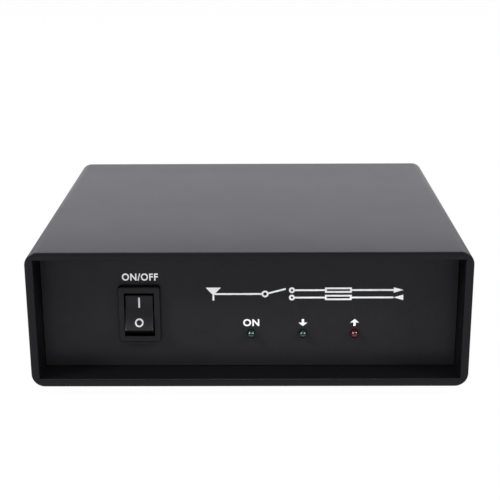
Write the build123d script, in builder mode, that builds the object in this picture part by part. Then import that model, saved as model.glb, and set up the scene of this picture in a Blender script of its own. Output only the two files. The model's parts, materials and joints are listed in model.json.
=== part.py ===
import os
from math import cos, radians, sin, sqrt

from build123d import *

os.makedirs("parts", exist_ok=True)

# Radio transmit-receive switch box. X runs to the right seen from the front, -Y is the front with the
# rocker switch and the indicators, +Y is the rear with the sockets, and Z is up from the table.

# Plays and cutting
overrun = 1.0  # how far a cutting shape runs past the face that it opens
running_play = 0.05  # radial play of the rocker's trunnions
insert_play = 0.05  # play round a part that is pushed into its seat
thread_play = 0.05  # play between a screw and the nut that holds it
screw_play = 0.2  # radial clearance of a screw in a plain hole

# Case sleeve
case_width = 155.0
case_depth = 135.0
case_height = 50.0
case_wall = 2.9
case_corner_radius = 4.7
rim_softening = 0.45
front_recess = 12.0  # from the front rim to the fascia
rear_recess = 5.0  # from the rear rim to the rear wall

# Chassis and fascia
sheet = 1.2
bend_radius = 2.0  # outside of the bend
panel_play = 0.25  # slit between the panels' edges and the sleeve
fascia_thickness = 0.8

# Feet, their screws and clinch nuts
foot_height = 4.0
foot_top_diameter = 12.0
foot_bottom_diameter = 10.4
foot_inset_x = 16.0
foot_inset_y = 20.0
screw_diameter = 3.0
screw_head_diameter = 5.6
screw_head_height = 2.0
screw_head_room = 0.5  # round the head in the foot's counterbore
screw_head_sink = 0.6  # from the foot's underside up to the head
clinch_nut_diameter = 6.3
clinch_nut_height = 3.0

# Rocker switch housing
switch_x_share = -0.2642  # of the inner width, from the middle
switch_height_share = 0.47  # of the case's height, from its underside to the switch's middle
bezel_lip = 1.1  # past the body, all round
bezel_thickness = 2.0
bezel_corner_radius = 1.0
bezel_softening = 0.5
switch_body_width = 12.8
switch_body_height = 18.8
switch_wall = 1.0
switch_end_wall = 1.2
switch_floor = 2.0
cutout_play = 0.1
latch_width = 6.0
latch_height = 0.5
latch_length = 5.0
latch_play = 0.1

# Rocker
rocker_throw = 30.0  # degrees between ON and OFF
rocker_play = 0.4
pivot_depth = 2.8  # behind the bezel's face
lip_reach = 6.3  # from the pivot to the crest at either end
lip_height = 4.2
valley_height = 3.0
shoulder_height = 0.6
skirt_depth = 2.0
rocker_softening = 0.35
trunnion_diameter = 2.4
trunnion_depth = 0.7  # how far each trunnion enters the housing's wall
stem_diameter = 5.2
stem_length = 5.5

# Plunger, contact bridge and terminals
plunger_diameter = 2.9
plunger_play = 0.1
plunger_reach = 8.0  # from the pivot to the rounded tip
plunger_length = 7.0
bridge_tilt = 16.0  # degrees between closed and open
bridge_length = 12.0
bridge_width = 4.0
bridge_thickness = 0.6
bridge_play = 0.05
plunger_clearance = 0.1  # left between tip and bridge in mid travel
tab_width = 4.8
tab_thickness = 0.8
tab_reach = 7.0  # behind the switch body
fulcrum_round_share = 0.45  # of the tab's thickness
contact_pad_height = 2.4
contact_pad_thickness = 0.8
contact_gap = 0.1
contact_pad_room = 2.2  # from the pad to the housing's floor

# Indicators
led_first_share = 0.004  # of the inner width, from the middle
led_pitch_share = 0.1248  # of the inner width
led_height_share = 0.311  # of the case's height, from its underside
led_lens_diameter = 3.0
led_flange_diameter = 3.8
led_flange_thickness = 1.0
led_length = 5.3
led_play = 0.1
led_lead_pitch = 2.54
led_lead_width = 0.5
led_lead_run = 9.0
led_lead_bend = 1.2
led_lead_tail = 1.4  # below the board
led_names = ["power_led", "receive_led", "transmit_led"]

# Circuit board, standoffs and screws
board_side_margin = 19.0
board_front_gap = 5.0
board_rear_gap = 9.0
board_thickness = 1.6
board_corner_radius = 2.0
board_hole_inset = 4.5
standoff_height = 6.0
standoff_across_flats = 5.5
board_screw_grip = 4.0  # length of the screw inside the standoff
lead_hole_play = 0.15

# Relays
relay_gap = 6.0
relay_inset = 26.0  # from the board's rear edge to the relays' middle
relay_length = 21.0
relay_width = 15.4
relay_headroom = 0.8  # above the upper contact
relay_wall = 0.8
relay_edge_radius = 0.8
relay_base_thickness = 1.6
core_offset = 1.0  # from the relay's middle towards the yoke's upright
core_radius = 1.7
core_proud = 0.4  # above the coil
coil_radius = 4.2
coil_height = 7.4
winding_inset = 0.6  # from the bobbin's edge to the winding
bobbin_flange = 0.7
yoke_reach = 5.0  # from the core's axis to the upright
yoke_thickness = 1.2
yoke_width = 8.0
armature_lift = 3.0  # degrees, released
armature_play = 0.05
armature_thickness = 1.0
armature_width = 7.0
armature_tail = 0.4
armature_overlap = 2.4  # of the armature past the core's axis
leaf_thickness = 0.4
leaf_width = 3.6
leaf_margin = 1.2  # past the moving contact
moving_contact_reach = 13.4  # from the armature's pivot
rivet_radius = 1.0
rivet_height = 0.5
strip_thickness = 0.6
strip_width = 2.4
strip_margin = 1.2  # past the fixed contact
strip_offset = 4.4  # sideways from the contact to the strip's leg
pin_width = 1.0
pin_tail = 1.4  # below the board
coil_pin_inset_x = 1.6
coil_pin_offset_y = 5.0
coil_pin_radius = 0.4

# Other parts on the board
part_spacing = 3.0
part_margin = 2.0  # from the board's edge
supply_row_gap = 6.0  # in front of the relays
capacitor_diameter = 10.0
capacitor_height = 12.5
capacitor_bead = 0.6
capacitor_softening = 0.8
arrester_diameter = 8.0
arrester_length = 6.0
arrester_cap_length = 1.0
arrester_cap_step = 0.4
chip_length = 9.8
chip_width = 6.4
chip_height = 3.3
chip_lead_pitch = 2.54
chip_lead_width = 0.6
chip_lead_reach = 1.1
chip_lead_thickness = 0.5
chip_lead_height = 1.6
chip_leads_per_side = 4

# Rear row of sockets, places as shares of the inner width, from the middle
antenna_x_share = 0.295
radio_x_share = 0.074
receiver_x_share = -0.074
key_x_share = -0.188
inlet_x_share = -0.315
ground_x_share = -0.429

# Antenna and radio sockets
socket_flange = 25.4
socket_flange_radius = 1.5
socket_flange_thickness = 1.6
socket_barrel_diameter = 15.88
socket_barrel_length = 11.0
socket_barrel_softening = 0.5
socket_notch_width = 1.6  # in the rim, for the plug's teeth
socket_notch_depth = 1.2
socket_notches = 4
socket_bore_diameter = 12.4
socket_bore_floor = 1.4  # in front of the flange's face
socket_skirt_diameter = 11.4
socket_skirt_length = 4.0
socket_throat_diameter = 8.8
socket_insulator_recess = 2.2
socket_contact_diameter = 5.0
socket_contact_bore = 4.05
socket_contact_bore_depth = 8.5
socket_tail_diameter = 3.0
socket_tail_length = 8.0  # behind the rear wall
socket_hole_share = 0.7165  # of the flange, between holes
socket_nut_height = 2.4
socket_nut_across_flats = 5.5

# Receiver socket
receiver_thread_diameter = 6.35
receiver_reach = 9.6  # in front of the rear wall
receiver_hex = 8.0
receiver_hex_height = 2.4
receiver_bore_diameter = 4.2
receiver_insulator_recess = 0.3
receiver_contact_diameter = 1.3
receiver_contact_bore = 0.94
receiver_contact_bore_depth = 3.0
receiver_shank_length = 5.0  # behind the rear wall
receiver_tail_length = 2.5  # behind the shank
receiver_nut_height = 2.2

# Keying jack
key_barrel_diameter = 8.3
key_barrel_length = 9.0
key_flange_diameter = 11.0
key_flange_thickness = 1.2
key_barrel_wall = 0.65
key_insulator_recess = 0.8
key_thread_diameter = 6.0
key_thread_length = 7.0
key_throat_diameter = 3.2
key_contact_diameter = 4.2
key_contact_bore = 3.3
key_contact_bore_depth = 7.0
key_tail_diameter = 1.8
key_tail_length = 9.0
key_nut_across_flats = 9.0
key_nut_height = 2.2

# Power inlet
inlet_thread_diameter = 10.8
inlet_flange_diameter = 14.0
inlet_flange_thickness = 2.0
inlet_body_length = 14.0  # behind the rear wall
inlet_bore_diameter = 6.4
inlet_bore_depth = 10.0
inlet_pin_diameter = 2.1
inlet_pin_recess = 0.8
inlet_tab_length = 4.0
inlet_tab_diameter = 1.6
inlet_tab_offset = 3.2
inlet_nut_across_flats = 14.0
inlet_nut_height = 2.4

# Ground stud
ground_stud_diameter = 4.0
ground_stud_reach = 11.0
ground_head_across_flats = 7.0
ground_head_height = 2.8
ground_nut_height = 3.2
ground_lug_gap = 1.0  # between the two nuts, for the wire's lug

# Wires inside
wire_diameter = 1.6
wire_run = 9.0
wire_bend = 3.5

# Places that follow from the sizes above
rear_overhang = socket_flange_thickness + socket_barrel_length - rear_recess
front_y = -(case_depth + rear_overhang) / 2
case_middle_y = front_y + case_depth / 2
case_middle_z = foot_height + case_height / 2
inner_width = case_width - 2 * case_wall
inner_height = case_height - 2 * case_wall
floor_z = foot_height + case_wall
fascia_y = front_y + front_recess
panel_y = fascia_y + fascia_thickness
panel_back_y = panel_y + sheet
rear_y = front_y + case_depth - rear_recess
rear_back_y = rear_y - sheet
panel_width = inner_width - 2 * panel_play
panel_top_z = floor_z + inner_height - panel_play
chassis_floor_z = floor_z + sheet
foot_spacing_x = case_width - 2 * foot_inset_x
foot_spacing_y = case_depth - 2 * foot_inset_y
foot_counterbore_radius = screw_head_diameter / 2 + screw_head_room
foot_counterbore_depth = screw_head_sink + screw_head_height
screw_radius = screw_diameter / 2
screw_hole_radius = screw_radius + screw_play
nut_bore_radius = screw_radius + thread_play

switch_x = switch_x_share * inner_width
switch_z = foot_height + switch_height_share * case_height
bezel_y = fascia_y - bezel_thickness
bezel_width = switch_body_width + 2 * bezel_lip
bezel_height = switch_body_height + 2 * bezel_lip
window_width = switch_body_width - 2 * switch_wall
window_height = switch_body_height - 2 * switch_end_wall
pivot_y = bezel_y + pivot_depth
rocker_angle = radians(rocker_throw / 2)
bridge_angle = radians(bridge_tilt / 2)
fulcrum_y = pivot_y + plunger_reach + plunger_clearance + bridge_thickness + bridge_play
plunger_back = plunger_reach - plunger_length
pad_y = fulcrum_y + bridge_length / 2 * sin(bridge_angle) + contact_gap
make_offset = bridge_length / 2 - contact_pad_height / 2
make_z = switch_z - make_offset
switch_back_y = pad_y + contact_pad_thickness + contact_pad_room + switch_floor
switch_body_depth = switch_back_y - fascia_y
tab_end_y = switch_back_y + tab_reach

led_z = foot_height + led_height_share * case_height
led_xs = [(led_first_share + n * led_pitch_share) * inner_width for n in range(len(led_names))]

board_z = chassis_floor_z + standoff_height
board_top_z = board_z + board_thickness
board_front_y = panel_back_y + board_front_gap
board_rear_y = rear_back_y - board_rear_gap
board_width = panel_width - 2 * board_side_margin
board_depth = board_rear_y - board_front_y
board_middle_y = (board_front_y + board_rear_y) / 2
board_spacing_x = board_width - 2 * board_hole_inset
board_spacing_y = board_depth - 2 * board_hole_inset
led_lead_drop_y = panel_back_y + led_lead_run

relay_y = board_rear_y - relay_inset
arrester_x = board_width / 2 - part_margin - arrester_diameter / 2
antenna_relay_x = arrester_x - arrester_diameter / 2 - part_spacing - relay_length / 2
receiver_relay_x = antenna_relay_x - relay_length - relay_gap
relay_xs = {"antenna_relay": antenna_relay_x, "receiver_relay": receiver_relay_x}
yoke_foot_z = board_top_z + relay_base_thickness
coil_z = yoke_foot_z + yoke_thickness
armature_pivot_z = coil_z + coil_height + core_proud
armature_pivot_offset = core_offset + yoke_reach + yoke_thickness
moving_contact_offset = armature_pivot_offset - moving_contact_reach
armature_angle = radians(armature_lift)
leaf_level = armature_play + armature_thickness
rivet_low = leaf_level - rivet_height
rivet_high = leaf_level + leaf_thickness + rivet_height
make_contact_z = armature_pivot_z + rivet_low - contact_gap
break_rise = (moving_contact_reach + rivet_radius) * sin(armature_angle)
break_contact_z = armature_pivot_z + break_rise + rivet_high * cos(armature_angle) + contact_gap
relay_height = break_contact_z + strip_thickness + relay_headroom + relay_wall - board_top_z
winding_radius = coil_radius - winding_inset
coil_pin_offset_x = relay_length / 2 - relay_wall - coil_pin_inset_x
pin_hole_radius = sqrt(pin_width**2 + strip_thickness**2) / 2 + lead_hole_play
supply_y = relay_y - relay_width / 2 - supply_row_gap - capacitor_diameter / 2
capacitor_x = part_margin + capacitor_diameter / 2 - board_width / 2
chip_x = capacitor_x + capacitor_diameter / 2 + part_spacing + chip_length / 2

rear_row_z = case_middle_z
receiver_x = receiver_x_share * inner_width
key_x = key_x_share * inner_width
inlet_x = inlet_x_share * inner_width
ground_x = ground_x_share * inner_width
socket_xs = {
    "antenna_socket": antenna_x_share * inner_width,
    "radio_socket": radio_x_share * inner_width,
}
socket_hole_spacing = socket_hole_share * socket_flange
socket_screw_places = [
    (x + side * socket_hole_spacing / 2, rear_row_z + rise * socket_hole_spacing / 2)
    for x in socket_xs.values()
    for side in (-1, 1)
    for rise in (-1, 1)
]


# Drawing planes
def facing_front(x, y, z):
    return Plane(origin=(x, y, z), x_dir=(1, 0, 0), z_dir=(0, -1, 0))


def facing_rear(x, y, z):
    return Plane(origin=(x, y, z), x_dir=(-1, 0, 0), z_dir=(0, 1, 0))


def facing_right(x):
    return Plane(origin=(x, 0, 0), x_dir=(0, 1, 0), z_dir=(1, 0, 0))


def front_section(x, y, z):
    """A lying section plane: first coordinate outwards from the axis, second towards the front."""
    return Plane(origin=(x, y, z), x_dir=(1, 0, 0), z_dir=(0, 0, -1))


def rear_section(x, y, z):
    """A lying section plane: first coordinate outwards from the axis, second towards the rear."""
    return Plane(origin=(x, y, z), x_dir=(1, 0, 0), z_dir=(0, 0, 1))


def depth_axis(x, z):
    return Axis((x, 0, z), (0, 1, 0))


def outline(plane, *points):
    with BuildSketch(plane) as drawn:
        with BuildLine():
            Polyline(*points, close=True)
        make_face()
    return drawn.sketch


def hex_ring(plane, across_flats, bore_radius):
    with BuildSketch(plane) as drawn:
        RegularPolygon(across_flats / 2, side_count=6, major_radius=False)
        if bore_radius:
            Circle(bore_radius, mode=Mode.SUBTRACT)
    return drawn.sketch


def disc(plane, radius, bore_radius=0):
    with BuildSketch(plane) as drawn:
        Circle(radius)
        if bore_radius:
            Circle(bore_radius, mode=Mode.SUBTRACT)
    return drawn.sketch


def save(part, label):
    part.label = label
    export_step(part, f"parts/{label}.step")


# Case sleeve: one drawn tube, open at both ends, with the rims softened
with BuildPart() as case_sleeve:
    with BuildSketch(facing_front(0, front_y, case_middle_z)):
        RectangleRounded(case_width, case_height, case_corner_radius)
        Rectangle(inner_width, inner_height, mode=Mode.SUBTRACT)
    extrude(amount=-case_depth)
    ends = case_sleeve.faces().filter_by(Axis.Y).sort_by(Axis.Y)
    fillet(ends[0].edges() + ends[-1].edges(), rim_softening)
    with BuildSketch(Plane.XY.offset(foot_height - overrun)):
        with Locations((0, case_middle_y)):
            with GridLocations(foot_spacing_x, foot_spacing_y, 2, 2):
                Circle(screw_hole_radius)
    extrude(amount=case_wall + 2 * overrun, mode=Mode.SUBTRACT)
save(case_sleeve.part, "case_sleeve")


# Chassis: one sheet bent up at the front and the rear
def front_openings(y):
    with BuildSketch(facing_front(0, y, 0)) as openings:
        with Locations((switch_x, switch_z)):
            Rectangle(switch_body_width + 2 * cutout_play, switch_body_height + 2 * cutout_play)
        with Locations(*[(x, led_z) for x in led_xs]):
            Circle(led_lens_diameter / 2 + led_play)
    return openings.sketch


def rear_openings(y):
    with BuildSketch(facing_front(0, y, 0)) as openings:
        with Locations(*[(x, rear_row_z) for x in socket_xs.values()]):
            Circle(socket_skirt_diameter / 2 + screw_play)
        with Locations(*socket_screw_places):
            Circle(screw_hole_radius)
        with Locations((receiver_x, rear_row_z)):
            Circle(receiver_thread_diameter / 2 + insert_play)
        with Locations((key_x, rear_row_z)):
            Circle(key_thread_diameter / 2 + insert_play)
        with Locations((inlet_x, rear_row_z)):
            Circle(inlet_thread_diameter / 2 + insert_play)
        with Locations((ground_x, rear_row_z)):
            Circle(ground_stud_diameter / 2 + insert_play)
    return openings.sketch


with BuildPart() as chassis:
    with BuildSketch(Plane.YZ):
        with BuildLine():
            FilletPolyline(
                (panel_y, panel_top_z),
                (panel_y, floor_z),
                (rear_y, floor_z),
                (rear_y, panel_top_z),
                radius=bend_radius,
            )
            offset(amount=sheet, side=Side.LEFT)
        make_face()
    extrude(amount=panel_width / 2, both=True)
    wall_cut = sheet + 2 * overrun
    extrude(front_openings(panel_y - overrun), amount=-wall_cut, mode=Mode.SUBTRACT)
    extrude(rear_openings(rear_back_y - overrun), amount=-wall_cut, mode=Mode.SUBTRACT)
    with BuildSketch(Plane.XY.offset(floor_z - overrun)):
        with Locations((0, case_middle_y)):
            with GridLocations(foot_spacing_x, foot_spacing_y, 2, 2):
                Circle(screw_hole_radius)
    extrude(amount=wall_cut, mode=Mode.SUBTRACT)
save(chassis.part, "chassis")

# Fascia: thin plate in front of the chassis, behind the front recess
with BuildPart() as front_fascia:
    with BuildSketch(facing_front(0, fascia_y, case_middle_z)):
        Rectangle(panel_width, inner_height - 2 * panel_play)
    extrude(amount=-fascia_thickness)
    fascia_cut = fascia_thickness + 2 * overrun
    extrude(front_openings(fascia_y - overrun), amount=-fascia_cut, mode=Mode.SUBTRACT)
save(front_fascia.part, "front_fascia")

# Feet: tapered rubber buttons, counterbored from below for their screws
foot_places = {
    "foot_front_left": (-1, -1),
    "foot_front_right": (1, -1),
    "foot_rear_left": (-1, 1),
    "foot_rear_right": (1, 1),
}


def foot_place(side, end):
    return side * foot_spacing_x / 2, case_middle_y + end * foot_spacing_y / 2


for foot_name, corner in foot_places.items():
    foot_x, foot_y = foot_place(*corner)
    with BuildPart() as foot:
        section = outline(
            Plane(origin=(foot_x, foot_y, 0), x_dir=(1, 0, 0), z_dir=(0, -1, 0)),
            (foot_counterbore_radius, 0),
            (foot_bottom_diameter / 2, 0),
            (foot_top_diameter / 2, foot_height),
            (screw_hole_radius, foot_height),
            (screw_hole_radius, foot_counterbore_depth),
            (foot_counterbore_radius, foot_counterbore_depth),
        )
        revolve(section, axis=Axis((foot_x, foot_y, 0), (0, 0, 1)))
    save(foot.part, foot_name)

with BuildPart() as foot_screws:
    for corner in foot_places.values():
        foot_x, foot_y = foot_place(*corner)
        head_top = Plane((foot_x, foot_y, foot_counterbore_depth))
        extrude(disc(head_top, screw_head_diameter / 2), amount=-screw_head_height)
        shank_length = chassis_floor_z + clinch_nut_height - foot_counterbore_depth
        extrude(disc(head_top, screw_radius), amount=shank_length)
save(foot_screws.part, "foot_screws")

with BuildPart() as clinch_nuts:
    for corner in foot_places.values():
        nut_seat = Plane((*foot_place(*corner), chassis_floor_z))
        extrude(disc(nut_seat, clinch_nut_diameter / 2, nut_bore_radius), amount=clinch_nut_height)
save(clinch_nuts.part, "clinch_nuts")

# Rocker switch housing: bezel in front of the fascia, hollow body through it, latches behind the panel
with BuildPart() as switch_housing:
    with BuildSketch(facing_front(switch_x, fascia_y, switch_z)):
        RectangleRounded(bezel_width, bezel_height, bezel_corner_radius)
    extrude(amount=bezel_thickness)
    fillet(switch_housing.faces().sort_by(Axis.Y)[0].edges(), bezel_softening)
    with BuildSketch(facing_front(switch_x, fascia_y, switch_z)):
        Rectangle(switch_body_width, switch_body_height)
    extrude(amount=-switch_body_depth)
    latch_y = panel_back_y + latch_play
    for rise in (-1, 1):
        latch_z = switch_z + rise * switch_body_height / 2
        latch = outline(
            facing_right(switch_x),
            (latch_y, latch_z),
            (latch_y, latch_z + rise * (cutout_play + latch_height)),
            (latch_y + latch_length, latch_z),
        )
        extrude(latch, amount=latch_width / 2, both=True)
    with BuildSketch(facing_front(switch_x, bezel_y - overrun, switch_z)):
        Rectangle(window_width, window_height)
    extrude(amount=-(overrun + bezel_thickness + switch_body_depth - switch_floor), mode=Mode.SUBTRACT)
    with BuildSketch(facing_right(switch_x)):
        with Locations((pivot_y, switch_z)):
            Circle(trunnion_diameter / 2 + running_play)
    bearing_reach = window_width / 2 + trunnion_depth + running_play
    extrude(amount=bearing_reach, both=True, mode=Mode.SUBTRACT)
    with BuildSketch(facing_front(switch_x, switch_back_y + overrun, switch_z)):
        with Locations((0, 0), (0, -make_offset)):
            Rectangle(tab_width + 2 * insert_play, tab_thickness + 2 * insert_play)
    extrude(amount=switch_floor + 2 * overrun, mode=Mode.SUBTRACT)
save(switch_housing.part, "switch_housing")

# Rocker, at rest in ON: the upper end is pressed in and the lower end stands out
pivot = (switch_x, pivot_y, switch_z)
rocker_up = (0, sin(rocker_angle), cos(rocker_angle))
rocker_inward = (0, cos(rocker_angle), -sin(rocker_angle))
swing_radius = window_height / 2 - rocker_play
shoulder_reach = sqrt(swing_radius**2 - skirt_depth**2)
stem_plane = Plane(origin=pivot, x_dir=(1, 0, 0), z_dir=rocker_inward)

with BuildPart() as switch_rocker:
    with BuildSketch(Plane(origin=pivot, x_dir=rocker_up, z_dir=(1, 0, 0))):
        with BuildLine():
            ThreePointArc((-lip_reach, lip_height), (0, valley_height), (lip_reach, lip_height))
            Polyline(
                (lip_reach, lip_height),
                (shoulder_reach, shoulder_height),
                (shoulder_reach, -skirt_depth),
                (-shoulder_reach, -skirt_depth),
                (-shoulder_reach, shoulder_height),
                (-lip_reach, lip_height),
            )
        make_face()
    extrude(amount=window_width / 2 - rocker_play, both=True)
    dished_face = switch_rocker.faces().filter_by(GeomType.CYLINDER)[0]
    fillet(dished_face.edges(), rocker_softening)
    extrude(disc(stem_plane, stem_diameter / 2), amount=stem_length)
    with BuildSketch(facing_right(switch_x)):
        with Locations((pivot_y, switch_z)):
            Circle(trunnion_diameter / 2)
    extrude(amount=window_width / 2 + trunnion_depth, both=True)
    plunger_bore = disc(stem_plane.offset(stem_length + overrun), plunger_diameter / 2 + plunger_play)
    bore_depth = stem_length + overrun - plunger_back + plunger_play
    extrude(plunger_bore, amount=-bore_depth, mode=Mode.SUBTRACT)
save(switch_rocker.part, "switch_rocker")

# Plunger: round-nosed pin in the rocker's stem
with BuildPart() as switch_plunger:
    plunger_radius = plunger_diameter / 2
    with BuildSketch(Plane(origin=pivot, x_dir=(1, 0, 0), z_dir=rocker_up)):
        with BuildLine():
            Polyline(
                (0, plunger_reach),
                (0, plunger_back),
                (plunger_radius, plunger_back),
                (plunger_radius, plunger_reach - plunger_radius),
            )
            RadiusArc((plunger_radius, plunger_reach - plunger_radius), (0, plunger_reach), -plunger_radius)
        make_face()
    revolve(axis=Axis(pivot, rocker_inward))
save(switch_plunger.part, "switch_plunger")

# Contact bridge: seesaw strip on the common terminal, its lower end closed at rest
with BuildPart() as switch_contact_bridge:
    bridge_plane = Plane(
        origin=(switch_x, fulcrum_y, switch_z),
        x_dir=(0, -sin(bridge_angle), cos(bridge_angle)),
        z_dir=(1, 0, 0),
    )
    with BuildSketch(bridge_plane):
        with Locations((0, bridge_play + bridge_thickness / 2)):
            Rectangle(bridge_length, bridge_thickness)
    extrude(amount=bridge_width / 2, both=True)
save(switch_contact_bridge.part, "switch_contact_bridge")

# Terminals: the common one carries the bridge on its rounded edge, the other meets its lower end
with BuildPart() as switch_common_terminal:
    with BuildSketch(facing_right(switch_x)) as blade:
        with Locations(((fulcrum_y + tab_end_y) / 2, switch_z)):
            Rectangle(tab_end_y - fulcrum_y, tab_thickness)
        tip = blade.vertices().group_by(Axis.X)[0]
        fillet(tip, tab_thickness * fulcrum_round_share)
    extrude(amount=tab_width / 2, both=True)
save(switch_common_terminal.part, "switch_common_terminal")

with BuildPart() as switch_make_terminal:
    with BuildSketch(facing_right(switch_x)):
        with Locations((pad_y + contact_pad_thickness / 2, make_z)):
            Rectangle(contact_pad_thickness, contact_pad_height)
        with Locations(((pad_y + tab_end_y) / 2, make_z)):
            Rectangle(tab_end_y - pad_y, tab_thickness)
    extrude(amount=tab_width / 2, both=True)
save(switch_make_terminal.part, "switch_make_terminal")

# Indicators: domed lamps pushed through the panel until their flanges meet it
for led_name, led_x in zip(led_names, led_xs):
    with BuildPart() as led:
        lens_radius = led_lens_diameter / 2
        flange_radius = led_flange_diameter / 2
        dome_start = led_length - led_flange_thickness - lens_radius
        with BuildSketch(front_section(led_x, panel_back_y, led_z)):
            with BuildLine():
                Polyline(
                    (0, dome_start + lens_radius),
                    (0, -led_flange_thickness),
                    (flange_radius, -led_flange_thickness),
                    (flange_radius, 0),
                    (lens_radius, 0),
                    (lens_radius, dome_start),
                )
                RadiusArc((lens_radius, dome_start), (0, dome_start + lens_radius), -lens_radius)
            make_face()
        revolve(axis=depth_axis(led_x, led_z))
    save(led.part, led_name)


# Bent wires
def square_lead(points, width, bend):
    with BuildPart() as wire:
        with BuildLine() as route:
            FilletPolyline(*points, radius=bend)
        with BuildSketch(route.line ^ 0):
            Rectangle(width, width)
        sweep()
    return wire.part


def round_lead(points):
    with BuildPart() as wire:
        with BuildLine() as route:
            FilletPolyline(*points, radius=wire_bend)
        with BuildSketch(route.line ^ 0):
            Circle(wire_diameter / 2)
        sweep()
    return wire.part


with BuildPart() as led_leads:
    for led_x in led_xs:
        for side in (-1, 1):
            lead_x = led_x + side * led_lead_pitch / 2
            lead_route = [
                (lead_x, panel_back_y + led_flange_thickness, led_z),
                (lead_x, led_lead_drop_y, led_z),
                (lead_x, led_lead_drop_y, board_z - led_lead_tail),
            ]
            add(square_lead(lead_route, led_lead_width, led_lead_bend))
save(led_leads.part, "led_leads")


# Circuit board on four hexagon standoffs
def relay_leg_places(x):
    return [(x + moving_contact_offset, relay_y + side * strip_offset) for side in (-1, 1)]


def coil_pin_places(x):
    return [(x + coil_pin_offset_x, relay_y + side * coil_pin_offset_y) for side in (-1, 1)]


with BuildPart() as circuit_board:
    with BuildSketch(Plane((0, board_middle_y, board_z))):
        RectangleRounded(board_width, board_depth, board_corner_radius)
    extrude(amount=board_thickness)
    with BuildSketch(Plane.XY.offset(board_z - overrun)):
        with Locations((0, board_middle_y)):
            with GridLocations(board_spacing_x, board_spacing_y, 2, 2):
                Circle(screw_hole_radius)
        for led_x in led_xs:
            with Locations((led_x, led_lead_drop_y)):
                with GridLocations(led_lead_pitch, 0, 2, 1):
                    Circle(led_lead_width / sqrt(2) + lead_hole_play)
        for relay_x in relay_xs.values():
            with Locations(*relay_leg_places(relay_x)):
                Circle(pin_hole_radius)
            with Locations(*coil_pin_places(relay_x)):
                Circle(coil_pin_radius + lead_hole_play)
    extrude(amount=board_thickness + 2 * overrun, mode=Mode.SUBTRACT)
save(circuit_board.part, "circuit_board")

board_corners = [
    (side * board_spacing_x / 2, board_middle_y + end * board_spacing_y / 2)
    for side in (-1, 1)
    for end in (-1, 1)
]

with BuildPart() as board_standoffs:
    for x, y in board_corners:
        standoff_seat = Plane((x, y, chassis_floor_z))
        extrude(hex_ring(standoff_seat, standoff_across_flats, nut_bore_radius), amount=standoff_height)
save(board_standoffs.part, "board_standoffs")

with BuildPart() as board_screws:
    for x, y in board_corners:
        head_seat = Plane((x, y, board_top_z))
        extrude(disc(head_seat, screw_head_diameter / 2), amount=screw_head_height)
        extrude(disc(head_seat, screw_radius), amount=-(board_thickness + board_screw_grip))
save(board_screws.part, "board_screws")


# Relays: base, cover, coil on a core and bent yoke, hinged armature with its leaf, fixed contacts
def relay_base(x):
    with BuildPart() as base:
        with BuildSketch(Plane((x, relay_y, board_top_z))):
            inset = 2 * (relay_wall + insert_play)
            Rectangle(relay_length - inset, relay_width - inset)
        extrude(amount=relay_base_thickness)
        with BuildSketch(Plane.XY.offset(board_top_z - overrun)):
            with Locations(*relay_leg_places(x)):
                Rectangle(pin_width + 2 * insert_play, strip_thickness + 2 * insert_play)
            with Locations(*coil_pin_places(x)):
                Circle(coil_pin_radius + insert_play)
        extrude(amount=relay_base_thickness + 2 * overrun, mode=Mode.SUBTRACT)
    return base.part


def relay_cover(x):
    with BuildPart() as cover:
        with BuildSketch(Plane((x, relay_y, board_top_z))):
            Rectangle(relay_length, relay_width)
        extrude(amount=relay_height)
        fillet(cover.edges().filter_by(Axis.Z) + cover.faces().sort_by(Axis.Z)[-1].edges(), relay_edge_radius)
        with BuildSketch(Plane((x, relay_y, board_top_z))):
            Rectangle(relay_length - 2 * relay_wall, relay_width - 2 * relay_wall)
        extrude(amount=relay_height - relay_wall, mode=Mode.SUBTRACT)
    return cover.part


def relay_yoke(x):
    core_x = x + core_offset
    upright_x = core_x + yoke_reach
    with BuildPart() as yoke:
        frame_outline = outline(
            facing_front(0, relay_y, 0),
            (core_x - core_radius, yoke_foot_z),
            (upright_x + yoke_thickness, yoke_foot_z),
            (upright_x + yoke_thickness, armature_pivot_z),
            (upright_x, armature_pivot_z),
            (upright_x, coil_z),
            (core_x - core_radius, coil_z),
        )
        extrude(frame_outline, amount=yoke_width / 2, both=True)
        core = disc(Plane((core_x, relay_y, coil_z)), core_radius)
        extrude(core, amount=coil_height + core_proud)
    return yoke.part


def relay_coil(x):
    core_x = x + core_offset
    bore = core_radius + insert_play
    with BuildPart() as coil:
        section = outline(
            facing_front(core_x, relay_y, coil_z),
            (bore, 0),
            (coil_radius, 0),
            (coil_radius, bobbin_flange),
            (winding_radius, bobbin_flange),
            (winding_radius, coil_height - bobbin_flange),
            (coil_radius, coil_height - bobbin_flange),
            (coil_radius, coil_height),
            (bore, coil_height),
        )
        revolve(section, axis=Axis((core_x, relay_y, 0), (0, 0, 1)))
    return coil.part


def relay_armature(x):
    along = (-cos(armature_angle), 0, sin(armature_angle))
    upward = (sin(armature_angle), 0, cos(armature_angle))
    hinge = (x + armature_pivot_offset, relay_y, armature_pivot_z)
    side_plane = Plane(origin=hinge, x_dir=along, z_dir=(0, 1, 0))
    plate_reach = yoke_thickness + yoke_reach + armature_overlap
    with BuildPart() as armature:
        plate = outline(
            side_plane,
            (-armature_tail, armature_play),
            (plate_reach, armature_play),
            (plate_reach, leaf_level),
            (-armature_tail, leaf_level),
        )
        extrude(plate, amount=armature_width / 2, both=True)
        leaf = outline(
            side_plane,
            (0, leaf_level),
            (moving_contact_reach + leaf_margin, leaf_level),
            (moving_contact_reach + leaf_margin, leaf_level + leaf_thickness),
            (0, leaf_level + leaf_thickness),
        )
        extrude(leaf, amount=leaf_width / 2, both=True)
        rivet_foot = side_plane.from_local_coords((moving_contact_reach, rivet_low, 0))
        rivet = disc(Plane(origin=rivet_foot, z_dir=upward), rivet_radius)
        extrude(rivet, amount=rivet_high - rivet_low)
    return armature.part


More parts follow.
